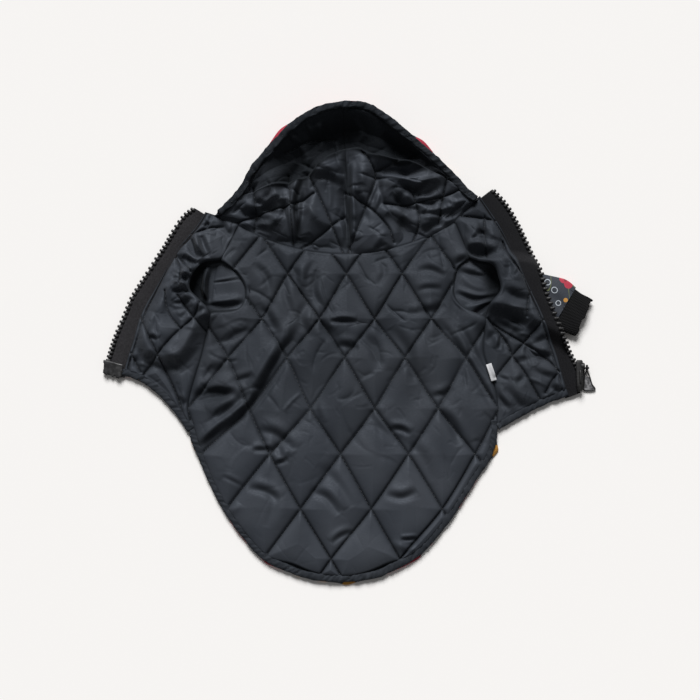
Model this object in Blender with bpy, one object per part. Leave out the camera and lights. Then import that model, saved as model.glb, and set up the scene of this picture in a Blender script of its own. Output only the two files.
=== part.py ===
"""Dog winter coat, unzipped and spread flat with its quilted lining up.

The tables are in millimetres; the scene is in metres with +Z up. The coat lies on the plane z = 0:
the hood is towards +Y and the tail towards -Y. Each cut piece is a closed wall of its own cloth.
Printed outer cloth lies at the bottom, then quilted lining with its wadding, and the two sleeves
lie flattened under the front flaps, on the outer side of the cloth.
"""

import math

import bpy
import numpy as np
from mathutils.bvhtree import BVHTree

MM = 0.001
GAP = 0.3  # clearance between neighbouring pieces

SHELL = 1.2  # printed outer cloth
SEAM_THICKNESS = 1.7  # quilted lining and wadding where it is sewn down
FLAT_THICKNESS = 2.6  # quilted lining and wadding beside a quilting line
PUFF = 2.2  # further height in the middle of a diamond
SEAM_REACH = 7.0  # how far in from a seam the wadding stays pinched

QUILT_WIDTH = 38.0
QUILT_HEIGHT = 57.0
QUILT_ORIGIN = (-2.0, 41.0)

BACK_ROWS, BACK_COLUMNS = 22, 15
FLAP_ROWS, FLAP_COLUMNS = 16, 8
HOOD_ROWS, HOOD_COLUMNS = 14, 11  # columns of each half

HEM_WIDTH = 4.8  # binding along the hems and the hood's rim
HEM_CENTRE = 2.15
HEM_HALF = (1.85, 2.0)
HEM_PROFILE = ((1.0, -0.3), (0.6, 1.0), (-0.6, 1.0), (-1.0, -0.3), (-0.6, -1.0), (0.6, -1.0))

SLEEVE_HEIGHT = 6.0  # a sleeve pressed flat under its flap
LIFT_RISE = 9.0  # how far a flap takes to come down from a sleeve to the ground

TAPE = 1.0
TEETH_WIDTH = 3.2
TEETH_HEIGHT = 2.8

SLIDER_WIDTH, SLIDER_LENGTH, SLIDER_HEIGHT = 6.8, 17.0, 5.0
SLIDER_CENTRE = (144.0, -22.5)
PIN_RADIUS = 0.7
PIN_HEIGHT = 2.4
PIN_Y = -17.5
EYE_HOLE, EYE_RADIUS = 1.1, 2.1

# Back panel from the neck seam to the tail: both ends of each cross line, the Y of its middle,
# and how much of its ends is hem.
BACK = (
    # x_left, y_left, x_right, y_right, y_middle, hem
    (-69.0, 72.5, 66.0, 74.5, 54.5, 0.0),
    (-75.0, 60.0, 71.0, 62.0, 46.0, 0.0),
    (-79.0, 50.5, 74.0, 52.0, 39.0, 0.0),
    (-70.0, 43.0, 67.0, 45.0, 32.0, 0.0),
    (-65.0, 36.0, 64.5, 36.0, 26.0, 0.0),
    (-63.5, 28.0, 65.0, 27.0, 19.0, 0.0),
    (-69.0, 19.0, 71.0, 20.0, 12.0, 0.0),
    (-85.0, 15.5, 84.0, 13.5, 7.0, 0.0),
    (-88.0, 4.0, 83.5, 4.0, -2.0, 0.0),
    (-91.0, -10.0, 83.0, -9.0, -13.0, 0.0),
    (-95.0, -24.0, 88.0, -24.0, -26.0, 0.0),
    (-99.0, -42.0, 91.5, -42.0, -42.0, 0.0),
    (-99.0, -58.0, 92.0, -57.0, -58.0, 1.0),
    (-93.0, -74.0, 88.5, -72.0, -74.0, 1.0),
    (-84.0, -94.0, 78.0, -88.0, -92.0, 1.0),
    (-76.0, -108.0, 68.0, -104.0, -108.0, 1.0),
    (-66.0, -122.0, 57.0, -119.0, -124.0, 1.0),
    (-52.0, -137.5, 42.0, -135.0, -139.0, 1.0),
    (-32.0, -147.5, 20.0, -147.5, -152.0, 1.0),
)

# Front flaps from the neck to the hem: the zip's outer edge, the zip's inner edge, and the seam
# to the back panel and round the armhole.
LEFT_FLAP = (
    # x_zip, y_zip, x_edge, y_edge, x_seam, y_seam
    (-97.0, 83.0, -91.0, 80.5, -69.6, 73.4),
    (-104.0, 78.0, -95.0, 74.0, -75.6, 60.6),
    (-111.0, 68.0, -102.0, 65.0, -80.0, 51.6),
    (-116.0, 61.0, -107.0, 59.0, -92.0, 48.5),
    (-121.0, 53.0, -112.0, 50.0, -98.0, 39.0),
    (-127.0, 43.0, -117.0, 40.0, -99.0, 31.0),
    (-132.0, 35.0, -122.0, 31.0, -93.0, 24.0),
    (-137.0, 26.0, -127.0, 22.0, -86.2, 15.6),
    (-141.0, 15.5, -131.0, 12.0, -88.7, 4.2),
    (-146.0, 3.0, -134.0, 0.0, -91.7, -10.0),
    (-149.0, -7.0, -137.0, -10.0, -95.7, -24.2),
    (-151.5, -17.0, -139.5, -19.0, -99.7, -42.2),
    (-152.0, -21.0, -141.0, -23.0, -99.8, -57.6),
)
RIGHT_FLAP = (
    # x_zip, y_zip, x_edge, y_edge, x_seam, y_seam
    (89.0, 95.5, 83.0, 91.0, 66.7, 75.6),
    (98.0, 86.5, 89.0, 82.0, 71.7, 62.6),
    (103.0, 77.5, 94.0, 74.0, 75.2, 53.2),
    (109.0, 65.0, 100.0, 62.0, 89.0, 47.0),
    (114.5, 53.0, 105.0, 50.0, 93.0, 38.0),
    (119.5, 41.5, 109.5, 38.0, 94.0, 30.0),
    (123.5, 30.0, 114.0, 28.0, 88.0, 22.0),
    (127.5, 18.5, 119.0, 17.0, 85.1, 13.8),
    (133.0, 4.0, 124.0, 4.0, 84.2, 4.2),
    (138.0, -7.5, 129.0, -10.0, 83.8, -9.2),
    (143.2, -19.0, 132.0, -22.0, 88.8, -24.3),
    (143.5, -28.0, 134.5, -31.0, 92.3, -42.2),
    (143.6, -32.5, 135.5, -35.5, 92.8, -56.6),
)
FLAP_HEM_SAG = 4.0  # the flaps' hems curve in towards the neck
RIGHT_TEETH_END = 9  # row of RIGHT_FLAP where the teeth stop above the slider

# Hood: the rim at equal steps of its length, from the left neck corner to the right one.
RIM = (
    # x, y
    (-84.0, 88.0),
    (-75.0, 92.5),
    (-67.5, 98.5),
    (-62.0, 108.0),
    (-48.0, 126.0),
    (-35.0, 139.0),
    (-20.0, 148.0),
    (-2.0, 152.0),
    (12.0, 150.5),
    (25.0, 142.0),
    (38.0, 131.0),
    (53.0, 119.0),
    (66.0, 105.0),
    (75.0, 100.0),
    (82.0, 98.0),
)

# Hood from the neck seam (0) to the rim (1): height of the ground side and of the lining, in the
# middle of the hood and beside the neck corners. The lip and the floor of the crown's pocket are
# the step down between 0.66 and 0.74.
HOOD = (
    # share, under_middle, top_middle, under_side, top_side
    (0.00, 0.0, 3.4, 0.0, 3.4),
    (0.12, 0.0, 7.0, 0.0, 6.0),
    (0.35, 0.0, 9.0, 0.0, 7.5),
    (0.56, 0.0, 11.5, 0.0, 8.5),
    (0.66, 0.0, 13.5, 0.0, 9.0),
    (0.74, 0.0, 5.0, 0.2, 8.5),
    (0.82, 2.5, 8.5, 1.0, 8.0),
    (0.91, 11.0, 16.5, 2.2, 8.0),
    (1.00, 17.0, 21.5, 3.4, 7.5),
)

# Sleeves from the inner end of the armhole to the cuff seam: centre line, half width, and how deep
# the open armhole sinks into the cloth.
LEFT_SLEEVE = (
    # x, y, half_width, well
    (-69.0, 30.5, 4.0, 1.0),
    (-71.5, 30.7, 7.5, 2.6),
    (-76.0, 31.2, 10.5, 4.0),
    (-82.0, 33.5, 12.5, 4.2),
    (-89.0, 32.5, 12.0, 3.2),
    (-95.5, 29.0, 12.0, 0.6),
    (-102.0, 21.5, 11.5, 0.0),
    (-107.0, 13.0, 11.0, 0.0),
)
LEFT_CUFF = ((-107.3, 12.4, 11.0), (-110.0, 7.0, 10.6), (-112.5, 1.5, 10.8))
RIGHT_SLEEVE = (
    # x, y, half_width, well
    (69.0, 33.5, 4.0, 1.0),
    (71.5, 33.5, 7.5, 2.6),
    (76.0, 34.0, 11.0, 4.0),
    (82.0, 34.5, 13.0, 4.2),
    (89.0, 34.5, 13.0, 3.2),
    (96.0, 35.0, 13.5, 0.6),
    (108.0, 33.5, 14.0, 0.0),
    (120.0, 27.5, 13.8, 0.0),
    (130.5, 20.5, 13.4, 0.0),
)
RIGHT_CUFF = ((130.9, 20.2, 13.4), (137.0, 17.2, 12.6), (143.0, 14.2, 12.9))
CUFF_WALL = 1.5
SLEEVE_FLOOR = 0.1

LABEL_CENTRE = (87.6, -20.5)
LABEL_WIDTH, LABEL_LENGTH, LABEL_TILT = 3.2, 10.5, 17.0

LINING = ("quilted lining", (0.045, 0.050, 0.058), 0.45, 0.0)
PRINT = ("printed outer cloth", (0.030, 0.045, 0.065), 0.65, 0.0)
BINDING = ("edge binding", (0.030, 0.034, 0.040), 0.50, 0.0)
WEBBING = ("zip tape", (0.022, 0.022, 0.025), 0.85, 0.0)
PLASTIC = ("black plastic", (0.010, 0.010, 0.011), 0.35, 0.0)
KNIT = ("rib knit", (0.009, 0.009, 0.010), 0.90, 0.0)
SATIN = ("satin label", (0.420, 0.420, 0.430), 0.40, 0.0)


def smooth(share):
    """Rises gently from 0 to 1 while share goes from 0 to 1."""
    share = np.clip(share, 0.0, 1.0)
    return share * share * (3.0 - 2.0 * share)


def finish(name, colour, roughness, metallic):
    material = bpy.data.materials.new(name)
    material.use_nodes = True
    shader = material.node_tree.nodes["Principled BSDF"]
    shader.inputs["Base Color"].default_value = (*colour, 1.0)
    shader.inputs["Roughness"].default_value = roughness
    shader.inputs["Metallic"].default_value = metallic
    return material


def volume_of(points, faces):
    """Six times the signed volume, which is negative where the faces point inwards."""
    total = 0.0
    for face in faces:
        first = points[face[0]]
        for second, third in zip(face[1:-1], face[2:]):
            total += np.dot(first, np.cross(points[second], points[third]))
    return total


def solid(name, points, faces, look):
    """One named object from points in millimetres, its faces turned outwards."""
    points = np.asarray(points, float)
    if volume_of(points, faces) < 0:
        faces = [tuple(reversed(face)) for face in faces]
    mesh = bpy.data.meshes.new(name)
    mesh.from_pydata((points * MM).tolist(), [], faces)
    mesh.update()
    obj = bpy.data.objects.new(name, mesh)
    bpy.context.scene.collection.objects.link(obj)
    mesh.materials.append(finish(name + " " + look[0], *look[1:]))
    return obj


def wall(name, under, over, look):
    """A closed wall between two grids of points, each (rows, columns, 3)."""
    rows, columns = over.shape[:2]
    step = over[1, 0] - over[0, 0]
    across = over[0, 1] - over[0, 0]
    if across[0] * step[1] - across[1] * step[0] > 0:
        under, over = under[::-1], over[::-1]
    count = rows * columns
    index = np.arange(count).reshape(rows, columns)
    faces = []
    for r in range(rows - 1):
        for c in range(columns - 1):
            a, b = index[r, c], index[r + 1, c]
            d, e = index[r + 1, c + 1], index[r, c + 1]
            for x, y, z in ((a, b, d), (a, d, e)):
                faces.append((x, y, z))
                faces.append((z + count, y + count, x + count))
    loop = [index[r, 0] for r in range(rows)]
    loop += [index[rows - 1, c] for c in range(1, columns)]
    loop += [index[r, columns - 1] for r in range(rows - 2, -1, -1)]
    loop += [index[0, c] for c in range(columns - 2, 0, -1)]
    for a, b in zip(loop, loop[1:] + loop[:1]):
        faces.append((b, a, a + count, b + count))
    points = np.concatenate([over.reshape(-1, 3), under.reshape(-1, 3)])
    return solid(name, points, [tuple(int(i) for i in face) for face in faces], look)


def loft(name, rings, look):
    """A closed body through rings of the same number of points, capped at both ends."""
    rings = np.asarray(rings, float)
    count, size = rings.shape[:2]
    faces = []
    for r in range(count - 1):
        for i in range(size):
            j = (i + 1) % size
            faces.append((r * size + i, r * size + j, (r + 1) * size + j, (r + 1) * size + i))
    faces.append(tuple(range(size - 1, -1, -1)))
    faces.append(tuple((count - 1) * size + i for i in range(size)))
    return solid(name, rings.reshape(-1, 3), faces, look)


def sleeve_of_rings(name, outside, inside, look):
    """A tube open at both ends, from rings outside and rings inside."""
    outside, inside = np.asarray(outside, float), np.asarray(inside, float)
    count, size = outside.shape[:2]
    total = count * size
    faces = []
    for r in range(count - 1):
        for i in range(size):
            j = (i + 1) % size
            a, b = r * size + i, r * size + j
            d, e = (r + 1) * size + j, (r + 1) * size + i
            faces.append((a, b, d, e))
            faces.append((e + total, d + total, b + total, a + total))
    last = (count - 1) * size
    for i in range(size):
        j = (i + 1) % size
        faces.append((j, i, i + total, j + total))
        faces.append((last + i, last + j, last + j + total, last + i + total))
    points = np.concatenate([outside.reshape(-1, 3), inside.reshape(-1, 3)])
    return solid(name, points, faces, look)


def along(points, count):
    """The path resampled at equal steps of its length."""
    points = np.asarray(points, float)
    steps = np.linalg.norm(np.diff(points, axis=0), axis=1)
    at = np.concatenate([[0.0], np.cumsum(steps)])
    wanted = np.linspace(0.0, at[-1], count)
    return np.stack([np.interp(wanted, at, points[:, k]) for k in range(points.shape[1])], axis=1)


def shifted(path, distance):
    """The flat path moved to its left by a distance."""
    path = np.asarray(path, float)
    ahead = np.gradient(path[:, :2], axis=0)
    ahead /= np.linalg.norm(ahead, axis=1)[:, None]
    return path[:, :2] + distance * np.stack([-ahead[:, 1], ahead[:, 0]], axis=1)


def between(left, right, middle, columns):
    """Rows of points from the left path to the right path, bowed so that their middle is at Y."""
    share = np.linspace(0.0, 1.0, columns)[None, :]
    x = left[:, :1] * (1 - share) + right[:, :1] * share
    y = left[:, 1:2] * (1 - share) + right[:, 1:2] * share
    bow = middle[:, None] - (left[:, 1:2] + right[:, 1:2]) / 2
    return np.stack([x, y + bow * 4 * share * (1 - share)], axis=2)


def back_grid(inset):
    """The back panel's plan, its hem drawn in by an inset."""
    table = along(BACK, BACK_ROWS)
    left, right, middle = table[:, 0:2], table[:, 2:4], table[:, 4].copy()
    hem = table[:, 5]
    inner_left = shifted(left, inset)
    inner_right = shifted(right, -inset)
    left = left + (inner_left - left) * hem[:, None]
    right = right + (inner_right - right) * hem[:, None]
    left[-1, 1] += inset * 0.7
    right[-1, 1] += inset * 0.7
    middle[-1] += inset
    middle[-2] += inset * 0.4
    return between(left, right, middle, BACK_COLUMNS)


def flap_grid(table, inset):
    """A front flap's plan from zip edge to seam, its hem drawn in by an inset."""
    table = along(table, FLAP_ROWS)
    left, right = table[:, 2:4].copy(), table[:, 4:6].copy()
    if left[0, 0] > right[0, 0]:
        left, right = right, left
    sag = FLAP_HEM_SAG * smooth(np.linspace(-1.0, 1.0, FLAP_ROWS))
    if inset:
        across = right[-1] - left[-1]
        inward = np.array([-across[1], across[0]]) / np.linalg.norm(across)
        left[-1] += inward * inset
        right[-1] += inward * inset
    return between(left, right, (left[:, 1] + right[:, 1]) / 2 + sag, FLAP_COLUMNS)


def distance_to_path(x, y, path):
    """Plan distance of points from a path of straight pieces."""
    best = np.full(np.shape(x), 1e9)
    for (ax, ay), (bx, by) in zip(path[:-1], path[1:]):
        dx, dy = bx - ax, by - ay
        share = np.clip(((x - ax) * dx + (y - ay) * dy) / (dx * dx + dy * dy), 0.0, 1.0)
        best = np.minimum(best, np.hypot(x - ax - share * dx, y - ay - share * dy))
    return best


def lift(x, y):
    """Height of the flaps' underside: they lie over the flattened sleeves."""
    height = np.zeros(np.shape(x))
    for sleeve, cuff in ((LEFT_SLEEVE, LEFT_CUFF), (RIGHT_SLEEVE, RIGHT_CUFF)):
        path = [row[:2] for row in sleeve[5:]] + [row[:2] for row in cuff]
        reach = max(row[2] for row in sleeve[5:])
        away = distance_to_path(x, y, path) - reach
        rise = (SLEEVE_HEIGHT + GAP + 0.2) * smooth(1.0 - away / LIFT_RISE)
        height = np.maximum(height, rise)
    return height


def puff(x, y):
    """Rise of the wadding between the diagonal quilting lines, from 0 on a line to 1."""
    across = (x - QUILT_ORIGIN[0]) / QUILT_WIDTH
    along_y = (y - QUILT_ORIGIN[1]) / QUILT_HEIGHT
    first = np.abs(np.sin(math.pi * (across + along_y)))
    second = np.abs(np.sin(math.pi * (across - along_y)))
    return np.sqrt(first * second)


def from_edge(plan):
    """Distance of each grid point from the border of its panel."""
    border = np.concatenate([plan[0], plan[-1], plan[:, 0], plan[:, -1]])
    gaps = np.linalg.norm(plan[:, :, None, :] - border[None, None, :, :], axis=3)
    return gaps.min(axis=2)


def raised(plan, height):
    return np.concatenate([plan, height[:, :, None]], axis=2)


def shell(name, plan):
    under = lift(plan[..., 0], plan[..., 1])
    return wall(name, raised(plan, under), raised(plan, under + SHELL), PRINT)


def quilted(name, plan):
    """Lining with its wadding over a flat-lying panel."""
    under = lift(plan[..., 0], plan[..., 1]) + SHELL + GAP
    full = FLAT_THICKNESS + PUFF * puff(plan[..., 0], plan[..., 1])
    inside = smooth(from_edge(plan) / SEAM_REACH)
    over = under + SEAM_THICKNESS + (full - SEAM_THICKNESS) * inside
    return wall(name, raised(plan, under), raised(plan, over), LINING)


def binding(name, path, heights):
    """A rolled binding along a path, at the height of its underside."""
    path = np.asarray(path, float)
    ahead = np.gradient(path, axis=0)
    ahead /= np.linalg.norm(ahead, axis=1)[:, None]
    side = np.stack([-ahead[:, 1], ahead[:, 0]], axis=1)
    rings = []
    for point, sideways, height in zip(path, side, heights):
        ring = []
        for across, rise in HEM_PROFILE:
            x, y = point + sideways * HEM_HALF[0] * across
            ring.append((x, y, height + HEM_HALF[1] * (1 + rise)))
        rings.append(ring)
    return loft(name, rings[::-1], BINDING)


def neck_curve(count):
    """The hood's side of the neck seam, a little above the back panel and the flaps."""
    share = np.linspace(0.06, 0.94, 15)
    top = BACK[0]
    x = top[0] * (1 - share) + top[2] * share
    y = top[1] * (1 - share) + top[3] * share
    y = y + (top[4] - (top[1] + top[3]) / 2) * 4 * share * (1 - share) + 1.0
    middle = np.stack([x, y], axis=1)
    ends = [(-84.5, 80.9), (-70.5, 75.2)], [(66.2, 77.3), (81.0, 91.6)]
    return along(np.concatenate([ends[0], middle, ends[1]]), count)


def hood_heights(share, middle):
    """Heights of the ground side and of the lining, from the HOOD table."""
    table = np.asarray(HOOD)
    columns = [np.interp(share, table[:, 0], table[:, k]) for k in range(1, 5)]
    under = columns[2] * (1 - middle) + columns[0] * middle
    over = columns[3] * (1 - middle) + columns[1] * middle
    return under, over


def hood():
    """Two quilted halves over two printed halves, and the binding round the rim."""
    half = HOOD_COLUMNS
    neck = neck_curve(2 * half + 1)
    rim = along(RIM, 2 * half + 1)
    inner_rim = shifted(rim, -HEM_WIDTH)
    trim = np.clip(HEM_WIDTH / np.linalg.norm(rim - neck, axis=1), 0.0, 0.5)
    share = np.linspace(0.0, 1.0, HOOD_ROWS)[:, None, None]
    plan = np.concatenate([neck * (1 - share) + inner_rim * share, rim[None]])
    share = np.concatenate([share[..., 0] * (1.0 - trim), np.ones((1, 2 * half + 1))])
    middle = np.sin(math.pi * np.linspace(0.0, 1.0, 2 * half + 1))[None, :] ** 1.3
    under, over = hood_heights(share, middle)
    pinch = smooth(from_edge(plan[:-1]) / SEAM_REACH)
    over = over[:-1] + 1.2 * (puff(plan[:-1, :, 0], plan[:-1, :, 1]) - 0.5) * pinch
    over = np.maximum(over, under[:-1] + SHELL + GAP + SEAM_THICKNESS)
    sides = (("left", slice(0, half + 1), -0.2), ("right", slice(half, 2 * half + 1), 0.2))
    for name, part, move in sides:
        flat = plan[:, part] + (move, 0.0)
        low = under[:, part]
        wall(f"hood_{name}_outer", raised(flat, low), raised(flat, low + SHELL), PRINT)
        flat, low = flat[:-1], low[:-1] + SHELL + GAP
        wall(f"hood_{name}_lining", raised(flat, low), raised(flat, over[:, part]), LINING)

    edge = under[-1] * 0.92 + under[-2] * 0.08 + SHELL + GAP
    path = along(np.column_stack([rim, edge]), 42)
    inner = shifted(path, -HEM_CENTRE)
    binding("hood_binding_left", inner[1:21], path[1:21, 2])
    binding("hood_binding_right", inner[21:-1], path[21:-1, 2])


def hem_bindings(back_outer, left_outer, right_outer):
    rows = [r for r in range(len(back_outer)) if back_outer[r, 0, 1] < -57.0]
    left = [back_outer[r, 0] for r in rows]
    bottom = list(back_outer[-1][1:-1])
    right = [back_outer[r, -1] for r in reversed(rows)]
    path = along(np.asarray(left + bottom + right), 37)
    path = shifted(path, HEM_CENTRE)
    binding("hem_back", path[1:-1], np.full(35, SHELL + GAP))
    for name, outer in (("hem_left", left_outer), ("hem_right", right_outer)):
        path = shifted(along(outer[-1], 15), HEM_CENTRE)[1:-1]
        ground = lift(path[:, 0], path[:, 1])
        binding(name, path, ground + SHELL + GAP)


def flat_oval(centre, sideways, half_width, low, high, well, size=16):
    """Ring of a flattened tube; a well sinks its upper side."""
    ring = []
    for k in range(size):
        turn = 2 * math.pi * (k + 0.5) / size
        across = math.cos(turn)
        rise = math.copysign(abs(math.sin(turn)) ** 0.55, math.sin(turn))
        x, y = np.asarray(centre) + np.asarray(sideways) * half_width * across
        z = (low + high) / 2 + (high - low) / 2 * rise
        if rise > 0:
            z -= well * max(0.0, 1 - across * across)
        ring.append((x, y, z))
    return ring


def sideways_of(centres):
    ahead = np.gradient(np.asarray(centres, float), axis=0)
    ahead /= np.linalg.norm(ahead, axis=1)[:, None]
    return np.stack([-ahead[:, 1], ahead[:, 0]], axis=1)


def sleeve(side, table, cuff):
    centres = [row[:2] for row in table] + [row[:2] for row in cuff]
    side_of = sideways_of(centres)
    seam = len(table)
    side_of[seam - 1] = side_of[seam]
    rings = [
        flat_oval(row[:2], out, row[2], SLEEVE_FLOOR, SLEEVE_HEIGHT - 0.1, row[3])
        for row, out in zip(table, side_of)
    ]
    loft(f"sleeve_{side}", rings, PRINT)
    outside, inside = [], []
    for row, out in zip(cuff, side_of[seam:]):
        outside.append(flat_oval(row[:2], out, row[2], SLEEVE_FLOOR, SLEEVE_HEIGHT - 0.6, 0.0))
        narrow = row[2] - CUFF_WALL * 1.2
        low, high = SLEEVE_FLOOR + CUFF_WALL, SLEEVE_HEIGHT - 0.6 - CUFF_WALL
        inside.append(flat_oval(row[:2], out, narrow, low, high, 0.0))
    sleeve_of_rings(f"cuff_{side}", outside, inside, KNIT)


def zip_side(side, table, rows, teeth_rows):
    """Tape along a flap's edge, and the strip that carries the teeth along the tape."""
    table = np.asarray(table)
    sign = -1.0 if side == "left" else 1.0  # outwards is to a path's right on the left side
    dense = along(table, rows)
    outer, inner = dense[:, 0:2], dense[:, 2:4]
    tape_inner = shifted(inner, sign * (GAP + 0.1))
    tape_outer = shifted(outer, -sign * (TEETH_WIDTH + GAP))
    plan = np.stack([tape_inner, tape_outer], axis=1)
    low = lift(plan[..., 0], plan[..., 1]) + 1.0
    wall(f"zip_tape_{side}", raised(plan, low), raised(plan, low + TAPE), WEBBING)
    strip = along(table[:teeth_rows, 0:2], rows)
    strip_inner = shifted(strip, -sign * TEETH_WIDTH)
    plan = np.stack([strip_inner, strip], axis=1)
    low = lift(plan[..., 0], plan[..., 1]) + 0.1
    wall(f"zip_teeth_{side}", raised(plan, low), raised(plan, low + TEETH_HEIGHT), PLASTIC)


def block(name, centre, size, look):
    x, y, z = np.asarray(size, float) / 2
    corners = [(-x, -y, -z), (x, -y, -z), (x, y, -z), (-x, y, -z)]
    corners += [(-x, -y, z), (x, -y, z), (x, y, z), (-x, y, z)]
    faces = [(3, 2, 1, 0), (4, 5, 6, 7), (0, 1, 5, 4), (1, 2, 6, 5), (2, 3, 7, 6), (3, 0, 4, 7)]
    return solid(name, np.asarray(corners) + centre, faces, look)


def rod_along_x(name, start, end, y, z, radius, look, sides=16):
    rings = []
    for x in (start, end):
        turns = [2 * math.pi * (k + 0.5) / sides for k in range(sides)]
        rings.append([(x, y + radius * math.cos(t), z + radius * math.sin(t)) for t in turns])
    return loft(name, rings, look)


def plate(name, outline, low, high, look):
    """A flat plate from an outline that runs anticlockwise."""
    rings = [[(x, y, z) for x, y in outline] for z in (low, high)]
    return loft(name, rings, look)


def combine(base, other, operation):
    """Joins or cuts one body with another, and removes the helper."""
    modifier = base.modifiers.new(operation, "BOOLEAN")
    modifier.solver = "EXACT"
    modifier.operation = operation
    modifier.object = other
    bpy.context.view_layer.update()
    graph = bpy.context.evaluated_depsgraph_get()
    mesh = bpy.data.meshes.new_from_object(base.evaluated_get(graph))
    base.modifiers.clear()
    base.data = mesh
    bpy.data.objects.remove(other)


def slider_and_pull():
    x, y = SLIDER_CENTRE
    edge = x + SLIDER_WIDTH / 2
    centre = (x, y, 0.1 + SLIDER_HEIGHT / 2)
    slider = block("zip_slider", centre, (SLIDER_WIDTH, SLIDER_LENGTH, SLIDER_HEIGHT), PLASTIC)
    pin = rod_along_x("pin", edge - 1.0, edge + 4.0, PIN_Y, PIN_HEIGHT, PIN_RADIUS, PLASTIC)
    combine(slider, pin, "UNION")
    head = rod_along_x("head", edge + 3.7, edge + 4.6, PIN_Y, PIN_HEIGHT, 1.3, PLASTIC)
    combine(slider, head, "UNION")

    low, high = 0.3, 1.7
    left = edge + 0.5
    tab = plate(
        "zip_pull",
        [(left, PIN_Y - 14.0), (left + 5.2, PIN_Y - 13.4), (left + 4.4, PIN_Y - 6.5),
         (left + 2.7, PIN_Y + 0.2), (left, PIN_Y + 0.2)],
        low, high, PLASTIC,
    )
    window = plate(
        "window",
        [(left + 1.3, PIN_Y - 12.6), (left + 3.9, PIN_Y - 12.2), (left + 3.1, PIN_Y - 7.0),
         (left + 1.3, PIN_Y - 4.6)],
        low - 1.0, high + 1.0, PLASTIC,
    )
    combine(tab, window, "DIFFERENCE")
    eye = rod_along_x("eye", left, left + 2.7, PIN_Y, PIN_HEIGHT, EYE_RADIUS, PLASTIC)
    combine(tab, eye, "UNION")
    hole = rod_along_x("hole", left - 1.0, left + 3.4, PIN_Y, PIN_HEIGHT, EYE_HOLE, PLASTIC)
    combine(tab, hole, "DIFFERENCE")


def height_on(panels, x, y):
    """Height of the panels' upper side below a point, or 0 where they aren't."""
    best = 0.0
    for panel in panels:
        tree = BVHTree.FromObject(panel, bpy.context.evaluated_depsgraph_get())
        for side in (-0.6, 0.0, 0.6):
            hit = tree.ray_cast(((x + side) * MM, y * MM, 100 * MM), (0, 0, -1))[0]
            if hit:
                best = max(best, hit.z / MM)
    return best


def label(panels):
    """A small tab that stands out of the right side seam and lies on the lining."""
    turn = math.radians(LABEL_TILT)
    down = np.array([math.sin(turn), -math.cos(turn)])
    side = np.array([math.cos(turn), math.sin(turn)])
    v = np.linspace(-0.5, 0.5, 6)[:, None, None] * LABEL_LENGTH
    u = np.linspace(-0.5, 0.5, 3)[None, :, None] * LABEL_WIDTH
    plan = np.asarray(LABEL_CENTRE) + v * down + u * side
    low = np.array([[height_on(panels, *point) for point in row] for row in plan])
    low = low.max(axis=1, keepdims=True) + GAP + 0.1 + 0.0 * low
    wall("care_label", raised(plan, low), raised(plan, low + 0.6), SATIN)


def zip_feet():
    """The stiffened end of each tape, below its last tooth."""
    left = [(-151.6, -21.5), (-142.0, -23.6), (-143.0, -28.0), (-150.6, -26.8)]
    middle = np.mean(left, axis=0)
    ring = sorted(left, key=lambda p: math.atan2(p[1] - middle[1], p[0] - middle[0]))
    plate("zip_pin_left", ring, 0.5, 2.6, PLASTIC)


def centre_and_ground():
    """Moves every piece so that the coat's box is centred on the axis and stands on z = 0."""
    boxes = []
    for obj in bpy.context.scene.objects:
        points = np.array([v.co for v in obj.data.vertices])
        boxes.append((points.min(axis=0), points.max(axis=0)))
    low = np.min([b[0] for b in boxes], axis=0)
    high = np.max([b[1] for b in boxes], axis=0)
    move = np.array([-(low[0] + high[0]) / 2, -(low[1] + high[1]) / 2, -low[2]])
    for obj in bpy.context.scene.objects:
        for vertex in obj.data.vertices:
            vertex.co.x += move[0]
            vertex.co.y += move[1]
            vertex.co.z += move[2]
    return move


def main():
    for obj in list(bpy.data.objects):
        bpy.data.objects.remove(obj)

    back_outer = back_grid(0.0)
    shell("back_outer", back_outer)
    back_top = quilted("back_lining", back_grid(HEM_WIDTH))

    left_outer = flap_grid(LEFT_FLAP, 0.0)
    right_outer = flap_grid(RIGHT_FLAP, 0.0)
    shell("left_flap_outer", left_outer)
    shell("right_flap_outer", right_outer)
    quilted("left_flap_lining", flap_grid(LEFT_FLAP, HEM_WIDTH))
    right_top = quilted("right_flap_lining", flap_grid(RIGHT_FLAP, HEM_WIDTH))
    hem_bindings(back_outer, left_outer, right_outer)

    hood()
    sleeve("left", LEFT_SLEEVE, LEFT_CUFF)
    sleeve("right", RIGHT_SLEEVE, RIGHT_CUFF)

    zip_side("left", LEFT_FLAP, 22, len(LEFT_FLAP))
    zip_side("right", RIGHT_FLAP, 22, RIGHT_TEETH_END + 1)
    zip_feet()
    slider_and_pull()
    label([back_top, right_top])
    move = centre_and_ground()
    print("moved by mm", (move * 1000).round(3).tolist())


main()
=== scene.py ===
import logging
import math
from dataclasses import dataclass, field
from enum import Enum
from typing import Any, Callable, Sequence

import bpy
import numpy as np
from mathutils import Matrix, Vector
from mathutils.bvhtree import BVHTree


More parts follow.
